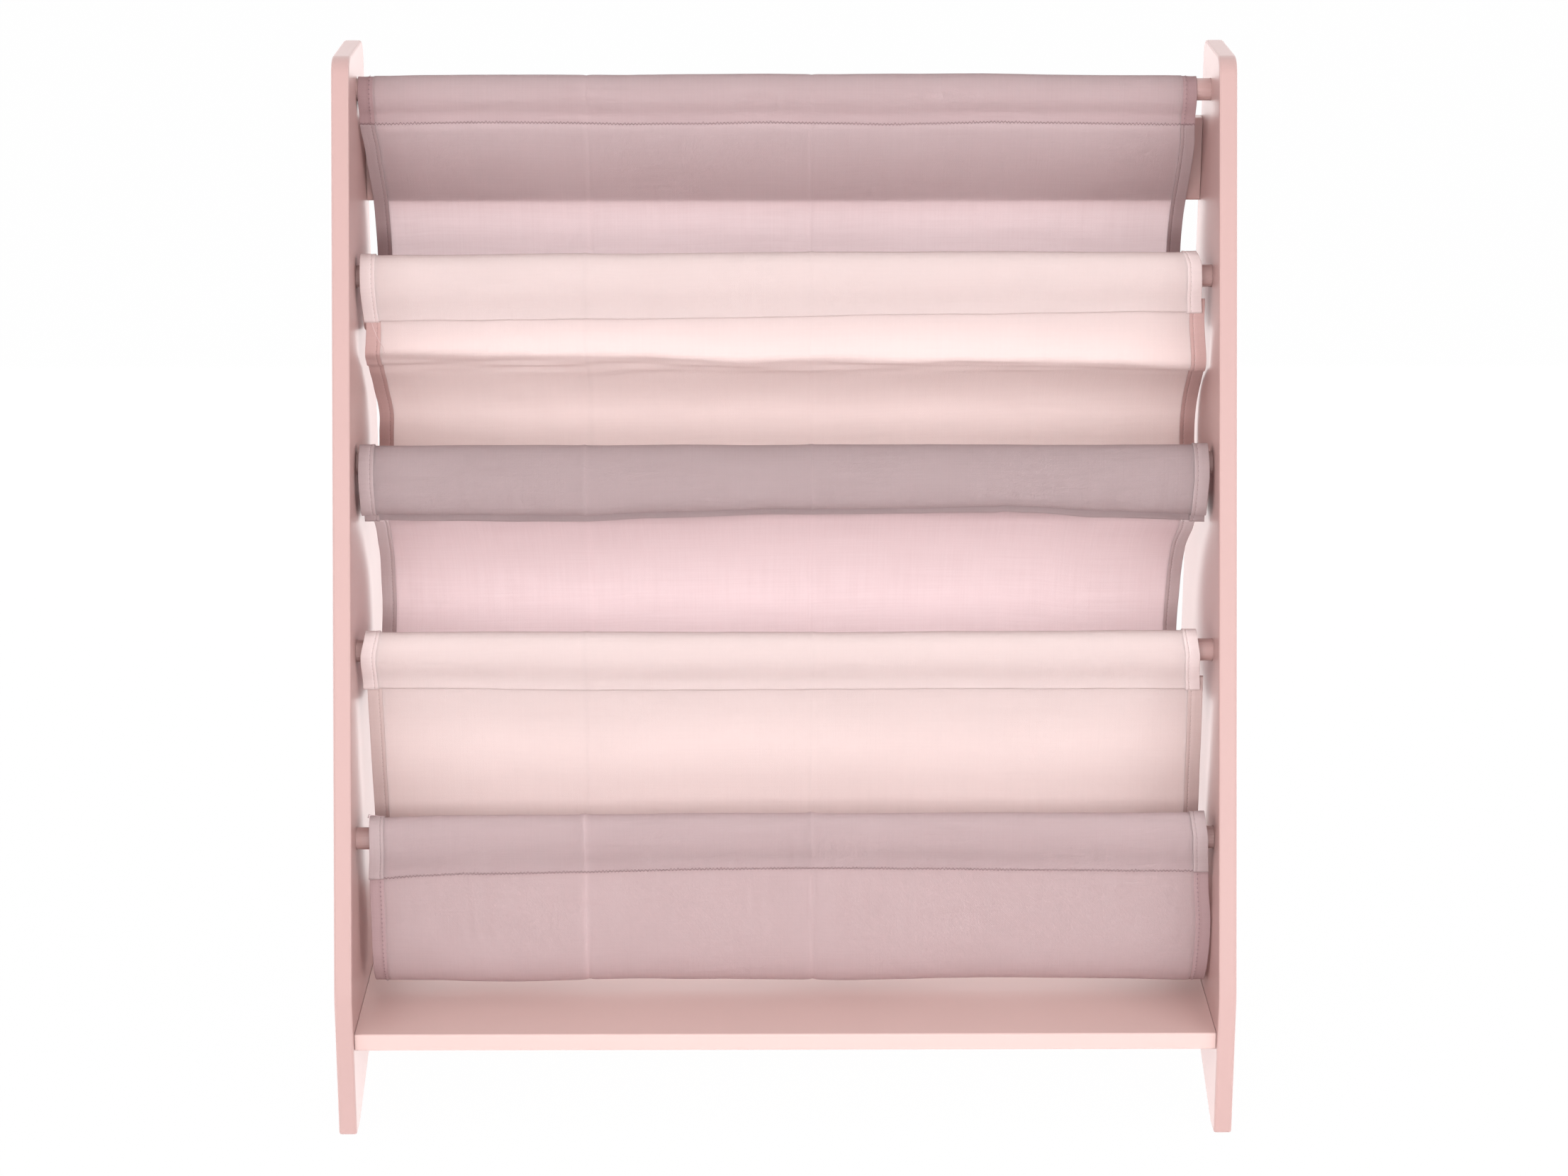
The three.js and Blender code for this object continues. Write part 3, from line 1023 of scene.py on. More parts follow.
    def _wall(self, index: int, top: Vector, belly: Vector, share: float) -> list[Vector]:
        """The back wall's line from its seam to its belly, with a bend where it stops hanging straight.

        Args:
            index: which pocket, from the top.
            top: the place of the wall's seam.
            belly: the point where the cloth is farthest back.
            share: the place along the rods, from -1 to 1.

        Returns:
            The line's points.
        """
        if index == 0:
            return self._wall_on_rail(top, belly)
        shape = self.pockets[index]
        span = (belly - top).length
        above_belly = Vector((belly.x, belly.y + shape.belly_handle * span))
        if shape.bend is None:
            below_top = Vector((top.x - shape.lean * span, top.y - shape.seam_handle * span))
            return curve(top, below_top, above_belly, belly, 2 * self.curve_points)
        bend = Vector((top.x - self.bend_ahead, top.y - eased_between(shape.bend, share)))
        away = (above_belly - bend).normalized() * span * self.bend_handle
        hanging = [top.lerp(bend, i / self.straight_points) for i in range(self.straight_points)]
        swung = curve(bend, bend + away, above_belly, belly, 2 * self.curve_points)
        return self._softened(hanging + swung, self.bend_ease)

    def _wall_on_rail(self, top: Vector, belly: Vector) -> list[Vector]:
        """The top pocket's wall, which lies against the rail's lower edge and hangs free below it.

        Args:
            top: the place of the wall's seam.
            belly: the point where the cloth is farthest back.

        Returns:
            The line's points.
        """
        before_rail = self.rail_front - self.rail_gap - self.thickness / 2
        contact = Vector((before_rail, self.rail_bottom + self.rail_touch))
        slope = (contact - top).normalized()
        along = (slope + Vector(self.rail_turn)).normalized()
        above = (contact - top).length / self.parts_above_rail_edge
        below = (belly - contact).length / self.parts_below_rail_edge
        upper = curve(top, top + slope * above, contact - along * above, contact, self.curve_points)
        leaving = contact + along * below * self.rail_leaving
        above_belly = Vector((belly.x, belly.y + below))
        return upper + curve(contact, leaving, above_belly, belly, self.curve_points)[1:]

    def off_rail(self, point: Vector) -> Vector:
        """Keeps a point of the top pocket's wall in front of the rail.

        Args:
            point: the point in the YZ plane.

        Returns:
            The point, moved forwards if it has to be.
        """
        limit = self.rail_front - self.rail_gap
        if point.y > self.rail_bottom - self.rail_margin and point.x > limit:
            return Vector((limit, point.y))
        return point

    @staticmethod
    def _softened(points: list[Vector], rounds: int) -> list[Vector]:
        """Rounds the corners of a line a little and keeps its ends.

        Args:
            points: the line's points.
            rounds: how many times each point is drawn towards its neighbours.

        Returns:
            The same number of points.
        """
        for _ in range(rounds):
            middle = [(a + b * 2 + c) / 4 for a, b, c in zip(points, points[1:], points[2:])]
            points = [points[0], *middle, points[-1]]
        return points


# The cloth


class Side(Enum):
    """The two ends of a panel, along the rods."""

    LEFT = "left"
    RIGHT = "right"


class Stretch(Enum):
    """The parts of a panel's line that are shaped in their own way."""

    EDGE = "the sleeve's lower edge"
    FRONT = "the sleeve's front"
    TURN = "the turn over the rod"
    LAP = "the lap behind the sleeve"
    WALL = "the pocket's back wall, down to its floor"
    RISE = "the pocket's front, up from its floor"

    @property
    def hangs(self) -> bool:
        """Whether the cloth hangs free there, and may sway."""
        return self in (Stretch.WALL, Stretch.RISE)

    @property
    def is_sewn(self) -> bool:
        """Whether seams hold the cloth flat there."""
        return self in (Stretch.LAP, Stretch.EDGE)


@dataclass(frozen=True)
class PanelLook:
    """How one panel differs from its fellows.

    Its first number is a painted shade: a share of the canvas's colour and of the light through it, which
    darkens the whole panel in place of the light that it lacks. The next colour is the painted shade of its
    hems, and the fold colour that of the strips folded back behind them, if they show. The crease tint paints
    light along the creases where it is positive, and shade where it is negative. The creases' and the
    wrinkles' heights are in millimetres. A loose thread is a row of places, each along the rods, above the
    floor and off the cloth, in millimetres.
    """

    # A painted shade: a share of the canvas's colour and of the light through it, darkening the whole panel.
    dye: float
    # The painted shade of the hems.
    hem_shade: Colour
    # The painted shade of the strips folded back behind the hems, if they show.
    fold: Colour | None = None
    # Painted light along the creases where positive, and painted shade where negative.
    painted_crease_shading: float | None = None
    crease_height: float = 0.5
    wrinkle_height: float = 0.0
    loose: Sequence[Sequence[Point]] = ()


@dataclass(frozen=True)
class Surface:
    """A panel's surface: each column's place across the cloth, its points, and their runs along the cloth."""

    places: list[float]
    points: list[list[Vector]]
    runs: list[list[float]]

    def picked(self, columns: Sequence[int]) -> "Surface":
        """The surface of some of the columns."""
        return Surface(*([rows[i] for i in columns] for rows in (self.places, self.points, self.runs)))


@dataclass
class SlingPanel:
    """One piece of canvas, cut, hemmed at both sides and hung."""

    node: str
    slot: str
    look: PanelLook
    canvas: bpy.types.Material
    # The strips folded back behind the hems, in their painted shade.
    shaded_hem_canvas: bpy.types.Material
    thread: bpy.types.Material
    edge_thread: bpy.types.Material
    section: SlingSection
    pocket: int
    is_back: bool
    # The cloth and its hems, and how the hems stand in relief
    cloth: float = 0.7
    hem_cloth: float = 0.6
    hem_gap: float = 0.03
    hem_zone: float = 1.2
    hem_step: float = 0.38
    hem_slope: float = 0.9
    hem_wave: Ripple = Ripple(0.22, (46.0, 0.12, 31.0))
    hem_wave_reach: float = 2.0
    hem_wave_slope: float = 3.0
    hem_wave_from_seam: float = 4.0
    # Stitches
    stitch_length: float = 2.3
    stitch_reach: float = 1.0
    stitch_dent: float = 0.3
    stitch_dent_width: float = 0.55
    thread_radius: float = 0.2
    thread_lift: float = 0.2
    # The overlocked edge
    overlock_pitch: float = 2.4
    overlock_reach: float = 1.7
    overlock_unevenness: Ripple = Ripple(1.0, (0.37, 11.0, 0.0), (0.0, 0.0, 2.0))
    overlock_least: float = 0.75
    overlock_change: float = 0.5
    overlock_past_edge: float = 0.2
    overlock_past_change: float = 0.35
    overlock_aside: float = 0.4
    # The edge turned under
    tuck_radius: float = 0.38
    tuck_points: int = 6
    # Creases, puckers, dents and wrinkles
    crease_width: float = 1.7
    crease_wander: float = 0.8
    crease_turns: float = 5.0
    crease_start: float = 9.0
    puckers: tuple[Ripple, Ripple] = (
        Ripple(0.8, (0.06, 17.0, 2.0)),
        Ripple(0.35, (0.17, 29.0, 4.0), (0.0, 5.0, 0.0)),
    )
    pucker_fade: float = 14.0
    dents: Ripple = Ripple(1.0, (0.011, 2.6, 13.0), octaves=3)
    turn_dents: float = 0.15
    front_dents: float = 0.55
    wall_dents: float = 0.9
    wrinkles: Ripple = Ripple(1.0, (0.016, 0.13, 7.0))
    wrinkle_drop: float = 42.0
    wrinkle_reach: float = 13.0
    seam_fade: float = 9.0
    drift_fade: float = 60.0
    # The grid's columns and rows
    edge_columns: tuple[float, ...] = (0.0, 0.5, 2.6, 4.8)
    beside_stitch: tuple[float, ...] = (-1.0, -0.35, 0.0, 0.35, 1.0)
    beside_hem: tuple[float, ...] = (-0.6, 0.0, 0.7, 2.2)
    beside_crease: tuple[float, ...] = (-4.4, -2.9, -1.8, -0.9, 0.0, 0.9, 1.8, 2.9, 4.4)
    clear_of_crease: float = 5.2
    clear_of_hem: float = 5.0
    middle_pitch: float = 4.6
    row_pitch: float = 3.2
    least_rows: int = 2
    sewn_rows: int = 6
    turn_rows: int = 12
    tucked_rows: int = 18
    wall_points: int = 260
    rise_points: int = 160

    @property
    def name(self) -> str:
        """The cloth's name."""
        return f"{self.node}_cloth"

    @property
    def shape(self) -> Pocket:
        """The shape of the panel's pocket."""
        return self.section.pockets[self.pocket]

    @property
    def phase(self) -> float:
        """Where the panel's folds, creases and noises start."""
        return self.shape.fold

    @property
    def in_first(self) -> bool:
        """Whether the panel belongs to the top pocket."""
        return self.pocket == 0

    @property
    def in_last(self) -> bool:
        """Whether the panel belongs to the lowest pocket."""
        return self.pocket == len(self.section.pockets) - 1

    @property
    def shows_edge(self) -> bool:
        """Whether the sleeve's overlocked edge hangs in sight, as on the top rod and the lowest."""
        return self.in_first if self.is_back else self.in_last

    def columns(self) -> list[float]:
        """Places across the width, closer together at the hems and the creases.

        Returns:
            The places, from the left edge.
        """
        width = 2 * self.section.half_width
        edge = [*self.edge_columns, *(CUT.stitch_inset + beside for beside in self.beside_stitch)]
        edge += [CUT.hem_width + beside for beside in self.beside_hem]
        start = CUT.hem_width + self.clear_of_hem
        count = round((width - 2 * start) / self.middle_pitch)
        middle = [start + (width - 2 * start) * i / count for i in range(count + 1)]
        for crease in CUT.creases:
            middle = [place for place in middle if abs(place - crease) > self.clear_of_crease]
            middle += [crease + beside for beside in self.beside_crease]
        middle.sort()
        return edge + middle + [width - place for place in reversed(edge)]

    def stretches(self, share: float) -> list[tuple[Stretch, list[Vector]]]:
        """The panel's line at one place along the rods, from its first edge to its last.

        Args:
            share: the place along the rods, from -1 to 1.

        Returns:
            The line's stretches in order, each with its points in the YZ plane.
        """
        section, index = self.section, self.pocket
        whole, to_floor = section.pocket(index, share)
        lap_start = to_floor - section.floor_lap / 2
        lap_end = to_floor + section.floor_lap / 2
        seam = section.seam(index, share)
        behind_seam = seam + Vector((section.layer, 0.0))
        if self.is_back:
            if self.in_first:
                lap, turn, front, edge = section.sleeve(0, 1, share)
                top = [(Stretch.EDGE, edge[::-1]), (Stretch.FRONT, front[::-1]), (Stretch.TURN, turn[::-1])]
                top.append((Stretch.LAP, [*lap[::-1], behind_seam]))
            else:
                hidden = seam + Vector((section.layer, section.seam_lap - 2 * section.fit))
                top = [(Stretch.LAP, [hidden, behind_seam])]
            return [*top, (Stretch.WALL, whole.part(0.0, lap_end, self.wall_points))]
        rise = offset(whole.part(lap_start, whole.length, self.rise_points), section.layer)
        lap, turn, front, edge = section.sleeve(index + 1, 1 if self.in_last else 2, share)
        return [
            (Stretch.RISE, rise),
            (Stretch.LAP, [rise[-1], *lap]),
            (Stretch.TURN, turn),
            (Stretch.FRONT, front),
            (Stretch.EDGE, edge if self.in_last else edge + self._tucked(edge[-1])),
        ]

    def _tucked(self, seam: Vector) -> list[Vector]:
        """The cloth turned under at a sleeve's lower edge.

        Args:
            seam: the lower edge.

        Returns:
            The points from the edge to the end of what is turned under.
        """
        radius = self.tuck_radius
        arc = []
        for i in range(1, self.tuck_points + 1):
            angle = math.pi * (1 + i / self.tuck_points)
            arc.append(seam + Vector((radius + radius * math.cos(angle), radius * math.sin(angle))))
        return [*arc, arc[-1] + Vector((0.0, self.section.tuck))]

    def edge_shift(self, side: Side, share: float) -> float:
        """How far an edge lies inwards from the panel's nominal edge.

        Args:
            side: which edge.
            share: the place along the panel, from 0 to 1.

        Returns:
            The distance in millimetres.
        """
        shape = self.shape
        if self.is_back:
            controls = shape.back_left if side is Side.LEFT else shape.back_right
        else:
            controls = shape.front_left if side is Side.LEFT else shape.front_right
        return eased_between(controls, share)

    def relief(self, x: float, inset: float, row_share: float, stretch: Stretch, near_seam: float) -> float:
        """How far the cloth stands towards its visible side of its plain line.

        Args:
            x: the place along the rods.
            inset: the distance from the nearer side edge.
            row_share: the place along the panel, from 0 to 1.
            stretch: the part of the line that the place is on.
            near_seam: the distance to the nearest sewn edge, along the line.

        Returns:
            The height in millimetres.
        """
        height = 0.0
        if not stretch.is_sewn:
            height = self._creased(x, row_share) + self._puckered(x, row_share, near_seam)
            dented = {Stretch.TURN: self.turn_dents, Stretch.FRONT: self.front_dents}
            height += self.dents.at(x, row_share, self.phase) * dented.get(stretch, self.wall_dents)
            height += self._wrinkled(x, near_seam)
        height *= eased(near_seam / self.seam_fade)
        if inset < CUT.hem_width + self.hem_zone:
            height += self.hem_step * eased((CUT.hem_width + self.hem_slope - inset) / self.hem_slope)
            from_stitch = (inset - CUT.stitch_inset) / self.stitch_dent_width
            height -= self.stitch_dent * math.exp(-(from_stitch**2))
            wave = self.hem_wave.at(row_share, inset, self.phase)
            wave *= eased((CUT.hem_width + self.hem_wave_reach - inset) / self.hem_wave_slope)
            height += wave * eased(near_seam / self.hem_wave_from_seam)
        return height

    def _creased(self, x: float, row_share: float) -> float:
        """The height of the creases, which wander a little along the cloth.

        Args:
            x: the place along the rods.
            row_share: the place along the panel, from 0 to 1.

        Returns:
            The height in millimetres.
        """
        height = 0.0
        angle = row_share * self.crease_turns + self.phase * self.crease_start
        for crease in CUT.creases:
            middle = crease - self.section.half_width
            away = abs(x - middle - self.crease_wander * math.sin(angle))
            height += self.look.crease_height * math.exp(-away / self.crease_width)
        return height

    def _puckered(self, x: float, row_share: float, near_seam: float) -> float:
        """The height of the puckers that a seam draws."""
        drawn = sum(pucker.at(x, self.phase, row_share) for pucker in self.puckers)
        return drawn * math.exp(-near_seam / self.pucker_fade)

    def _wrinkled(self, x: float, near_seam: float) -> float:
        """The height of the wrinkles across a wall, where a panel has them.

        Args:
            x: the place along the rods.
            near_seam: the distance to the nearest sewn edge, along the line.

        Returns:
            The height in millimetres.
        """
        if not self.look.wrinkle_height:
            return 0.0
        from_middle = (near_seam - self.wrinkle_drop) / self.wrinkle_reach
        wrinkle = self.wrinkles.at(x, near_seam, self.phase)
        return self.look.wrinkle_height * wrinkle * math.exp(-from_middle * from_middle)

    def surface(self) -> Surface:
        """Works out the panel's surface.

        Returns:
            Where its columns lie.
        """
        places = self.columns()
        rows = [self._rows(stretch, Line(points).length) for stretch, points in self.stretches(0.0)]
        columns, runs = [], []
        for place in places:
            share = 2 * place / places[-1] - 1
            points, names = self._resampled(self.stretches(share), rows)
            columns.append(self._laid(points, names, place, places[-1]))
            runs.append(Line([Vector((0.0, p.y, p.z)) for p in columns[-1]]).runs)
        return Surface(places, columns, runs)

    def _rows(self, stretch: Stretch, length: float) -> int:
        """How many rows of faces a stretch has.

        Args:
            stretch: which stretch.
            length: its length in the middle of the panel.

        Returns:
            The number of rows.
        """
        if stretch is Stretch.EDGE and not self.is_back and not self.in_last:
            return self.tucked_rows
        least = self.turn_rows if stretch is Stretch.TURN else self.least_rows
        least = self.sewn_rows if stretch.is_sewn else least
        return max(least, round(length / self.row_pitch))

    @staticmethod
    def _resampled(
        stretches: Sequence[tuple[Stretch, list[Vector]]], rows: Sequence[int]
    ) -> tuple[list[Vector], list[Stretch]]:
        """Spaces each stretch evenly, and joins them into one line.

        Args:
            stretches: the stretches, each with its points.
            rows: how many rows each stretch is to have.

        Returns:
            The line's points, and the stretch that each point is on.
        """
        points: list[Vector] = []
        names: list[Stretch] = []
        for (stretch, plain), count in zip(stretches, rows):
            line = Line(plain)
            spaced = line.part(0.0, line.length, count)
            spaced = spaced[1:] if points else spaced
            points += spaced
            names += [stretch] * len(spaced)
        return points, names

    def _laid(self, points: list[Vector], names: list[Stretch], place: float, width: float) -> list[Vector]:
        """Puts one column's line in space, with its sway, its relief and its side edges' drift.

        Args:
            points: the line's points in the YZ plane.
            names: the stretch of each point.
            place: the column's place across the cloth.
            width: the cloth's width.

        Returns:
            The points in space.
        """
        section = self.section
        x = place - section.half_width
        inset = min(place, width - place)
        line, out = Line(points), outwards(points)
        wave = math.cos(2 * math.pi * (x / section.fold_spacing + self.phase))
        hanging = [run for run, stretch in zip(line.runs, names) if stretch.hangs]
        low, high = hanging[0], hanging[-1]
        sewn = [low if self.is_back else high]
        sewn += [run for run, stretch in zip(line.runs, names) if stretch is Stretch.EDGE]
        fade_left = eased(1 - place / self.drift_fade)
        fade_right = eased(1 - (width - place) / self.drift_fade)
        laid = []
        for run, point, away, stretch in zip(line.runs, points, out, names):
            row_share = run / line.length
            sway = self._swayed((run - low) / (high - low), wave) if stretch.hangs else 0.0
            near = min(abs(run - sewn_run) for sewn_run in sewn)
            moved = point + away * (sway - self.relief(x, inset, row_share, stretch, near))
            if stretch is Stretch.WALL and self.in_first:
                moved = section.off_rail(moved)
            shift = fade_left * self.edge_shift(Side.LEFT, row_share)
            shift -= fade_right * self.edge_shift(Side.RIGHT, row_share)
            laid.append(Vector((x + shift, moved.x, moved.y)))
        return laid

    def _swayed(self, share: float, wave: float) -> float:
        """The height of the broad folds.

        Args:
            share: the place along the panel's part of the pocket, from 0 to 1.
            wave: where the folds swing to at this place along the rods, from -1 to 1.

        Returns:
            The height in millimetres.
        """
        whole = share / 2 if self.is_back else (1 + share) / 2
        sway = math.sin(math.pi * whole) ** 2 * self.section.fold_depth * wave
        return sway * (1.0 if self.is_back else self.shape.front_sway)

    def build(self) -> bpy.types.Object:
        """Returns:
            The cloth.
        """
        surface = self.surface()
        cloth = self._sheet(self.name, surface, self.cloth, 0.0, self.canvas)
        extras = [self._hems(surface), self._stitches(surface)]
        if self.shows_edge:
            extras.append(self._overlock([points[0 if self.is_back else -1] for points in surface.points]))
        if self.look.loose:
            extras.append(self._loose_threads(surface))
        width = surface.places[-1]
        flat_width = width + 2 * CUT.hem_width
        length = sum(runs[-1] for runs in surface.runs) / len(surface.runs)
        for piece in (cloth, *extras):
            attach(piece, "root")
            LOG.info("%s: %s", piece.name, self.slot)
        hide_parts(self.node)
        flat_width * MM
        length * MM
        f"rod_{self.pocket + (1 if self.is_back else 2)}"
        width * length * MM * MM
        LOG.info("%s: flat %.0f x %.0f mm", self.name, flat_width, length)
        return cloth

    @staticmethod
    def _sheet(
        name: str, surface: Surface, thickness: float, away: float, canvas: bpy.types.Material
    ) -> bpy.types.Object:
        """A grid laid on a surface, with its cloth map and its thickness.

        Args:
            name: the object's name.
            surface: where the grid's columns lie.
            thickness: the cloth's thickness.
            away: how far it lies towards the hidden side.
            canvas: its material.

        Returns:
            The new object.
        """
        wide, tall = len(surface.points), len(surface.points[0])
        bm = bmesh.new()
        bmesh.ops.create_grid(bm, x_segments=wide - 1, y_segments=tall - 1, size=1.0)
        uv = bm.loops.layers.uv.new("cloth")
        flat_place = {}
        for vert in bm.verts:
            i = round((vert.co.x + 1) / 2 * (wide - 1))
            j = round((vert.co.y + 1) / 2 * (tall - 1))
            flat_place[vert] = (surface.places[i] * MM, surface.runs[i][j] * MM)
            vert.co = surface.points[i][j] * MM
        for face in bm.faces:
            for loop in face.loops:
                loop[uv].uv = flat_place[loop.vert]
            face.smooth = True
        bm.normal_update()
        if away:
            for vert in bm.verts:
                vert.co -= vert.normal * (away * MM)
        made = finished(bm, name, canvas)
        shell = made.modifiers.new("thickness", "SOLIDIFY")
        shell.thickness = thickness * MM
        shell.offset = 0.0
        shell.use_even_offset = False
        return made

    def _hems(self, surface: Surface) -> bpy.types.Object:
        """The cloth folded back at both sides, on the hidden side, in its painted shade.

        Args:
            surface: where the panel's columns lie.

        Returns:
            Both hems as one object.
        """
        name = f"{self.name}_hems"
        whole = len(surface.places)
        count = sum(place <= CUT.hem_width for place in surface.places)
        away = (self.cloth + self.hem_cloth) / 2 + self.hem_gap
        parts = [
            self._sheet(name, surface.picked(side), self.hem_cloth, away, self.shaded_hem_canvas)
            for side in (range(count), range(whole - count, whole))
        ]
        return joined(parts, name)

    def _stitches(self, surface: Surface) -> bpy.types.Object:
        """A row of thread stitches along each hem.

        Args:
            surface: where the panel's columns lie.

        Returns:
            The stitches as one object.
        """
        bm = bmesh.new()
        left = surface.places.index(CUT.stitch_inset)
        for column, beside in ((left, 1), (len(surface.places) - 1 - left, -1)):
            self._stitch_row(bm, surface.points[column], surface.points[column + beside])
        for face in bm.faces:
            face.smooth = True
        return finished(bm, f"{self.name}_stitches", self.thread)

    def _stitch_row(self, bm: bmesh.types.BMesh, line: list[Vector], beside: list[Vector]) -> None:
        """Lays stitches along a line of the cloth, on both of its faces.

        Args:
            bm: the bmesh that takes the stitches.
            line: the points of the cloth's column.
            beside: the points of the column next to it.
        """
        run, next_to = Line(line), Line(beside)
        count = int(run.length / CUT.stitch_pitch)
        half = self.stitch_length / 2
        for i in range(count):
            middle = (i + 0.5) * run.length / count
            here = run.at(middle)
            ahead = (run.at(middle + self.stitch_reach) - run.at(middle - self.stitch_reach)).normalized()
            across = next_to.at(middle * next_to.length / run.length) - here
            up = ahead.cross(across).normalized()
            turn = Matrix((ahead, up.cross(ahead), up)).transposed().to_4x4()
            size = Matrix.Diagonal((half, self.thread_radius, self.thread_radius, 1.0))
            for sign, lift in ((1, self.cloth / 2), (-1, self.cloth / 2 + self.hem_cloth)):
                centre = here + up * sign * (lift + self.thread_radius * self.thread_lift)
                matrix = Matrix.Scale(MM, 4) @ Matrix.Translation(centre) @ turn @ size
                bmesh.ops.create_icosphere(bm, subdivisions=1, radius=1.0, matrix=matrix)

    def _overlock(self, edge: Sequence[Vector]) -> bpy.types.Object:
        """The thread that runs to and fro over the flap's cut edge, uneven as such an edge is.

        Args:
            edge: the edge's points, from left to right.

        Returns:
            The thread as a mesh.
        """
        line = Line(edge)
        count = int(line.length / self.overlock_pitch)
        away = self.cloth / 2 + self.thread_radius
        path = []
        for i in range(2 * count + 1):
            here = line.at(i * line.length / (2 * count))
            loose = self.overlock_unevenness.at(i, self.phase)
            reach = self.overlock_reach * (self.overlock_least + self.overlock_change * loose)
            if i % 2 == 0:
                reach = -self.overlock_past_edge - self.overlock_past_change * abs(loose)
            path.append(here + Vector((self.overlock_aside * loose, -away, reach)))
        return thread_along([path], f"{self.name}_overlock", self.thread_radius, self.edge_thread)

    def _loose_threads(self, surface: Surface) -> bpy.types.Object:
        """Thread ends left by the sewing, each laid on the cloth by its places, heights and lifts.

        Args:
            surface: where the panel's columns lie.

        Returns:
            The threads as a mesh.
        """
        paths = []
        for ends in self.look.loose:
            path = []
            for x, z, lift in ends:
                column = min(surface.points, key=lambda points: abs(points[0].x - x))
                near = [point for point in column if abs(point.z - z) < self.row_pitch]
                front = min(point.y for point in near or column)
                path.append(Vector((x, front - self.cloth / 2 - self.thread_radius - lift, z)))
            paths.append(path)
        return thread_along(paths, f"{self.name}_loose_threads", self.thread_radius, self.thread)


class Dye(Enum):
    """The two colours of canvas, which change about from panel to panel."""

    MAUVE = "mauve"
    PALE = "pale"


@dataclass(frozen=True)
class Stock:
    """The canvas of one colour, the same canvas folded back behind the hems in a painted shade, and its thread.
    """

    canvas: Canvas
    folded: Canvas
    thread: SewingThread


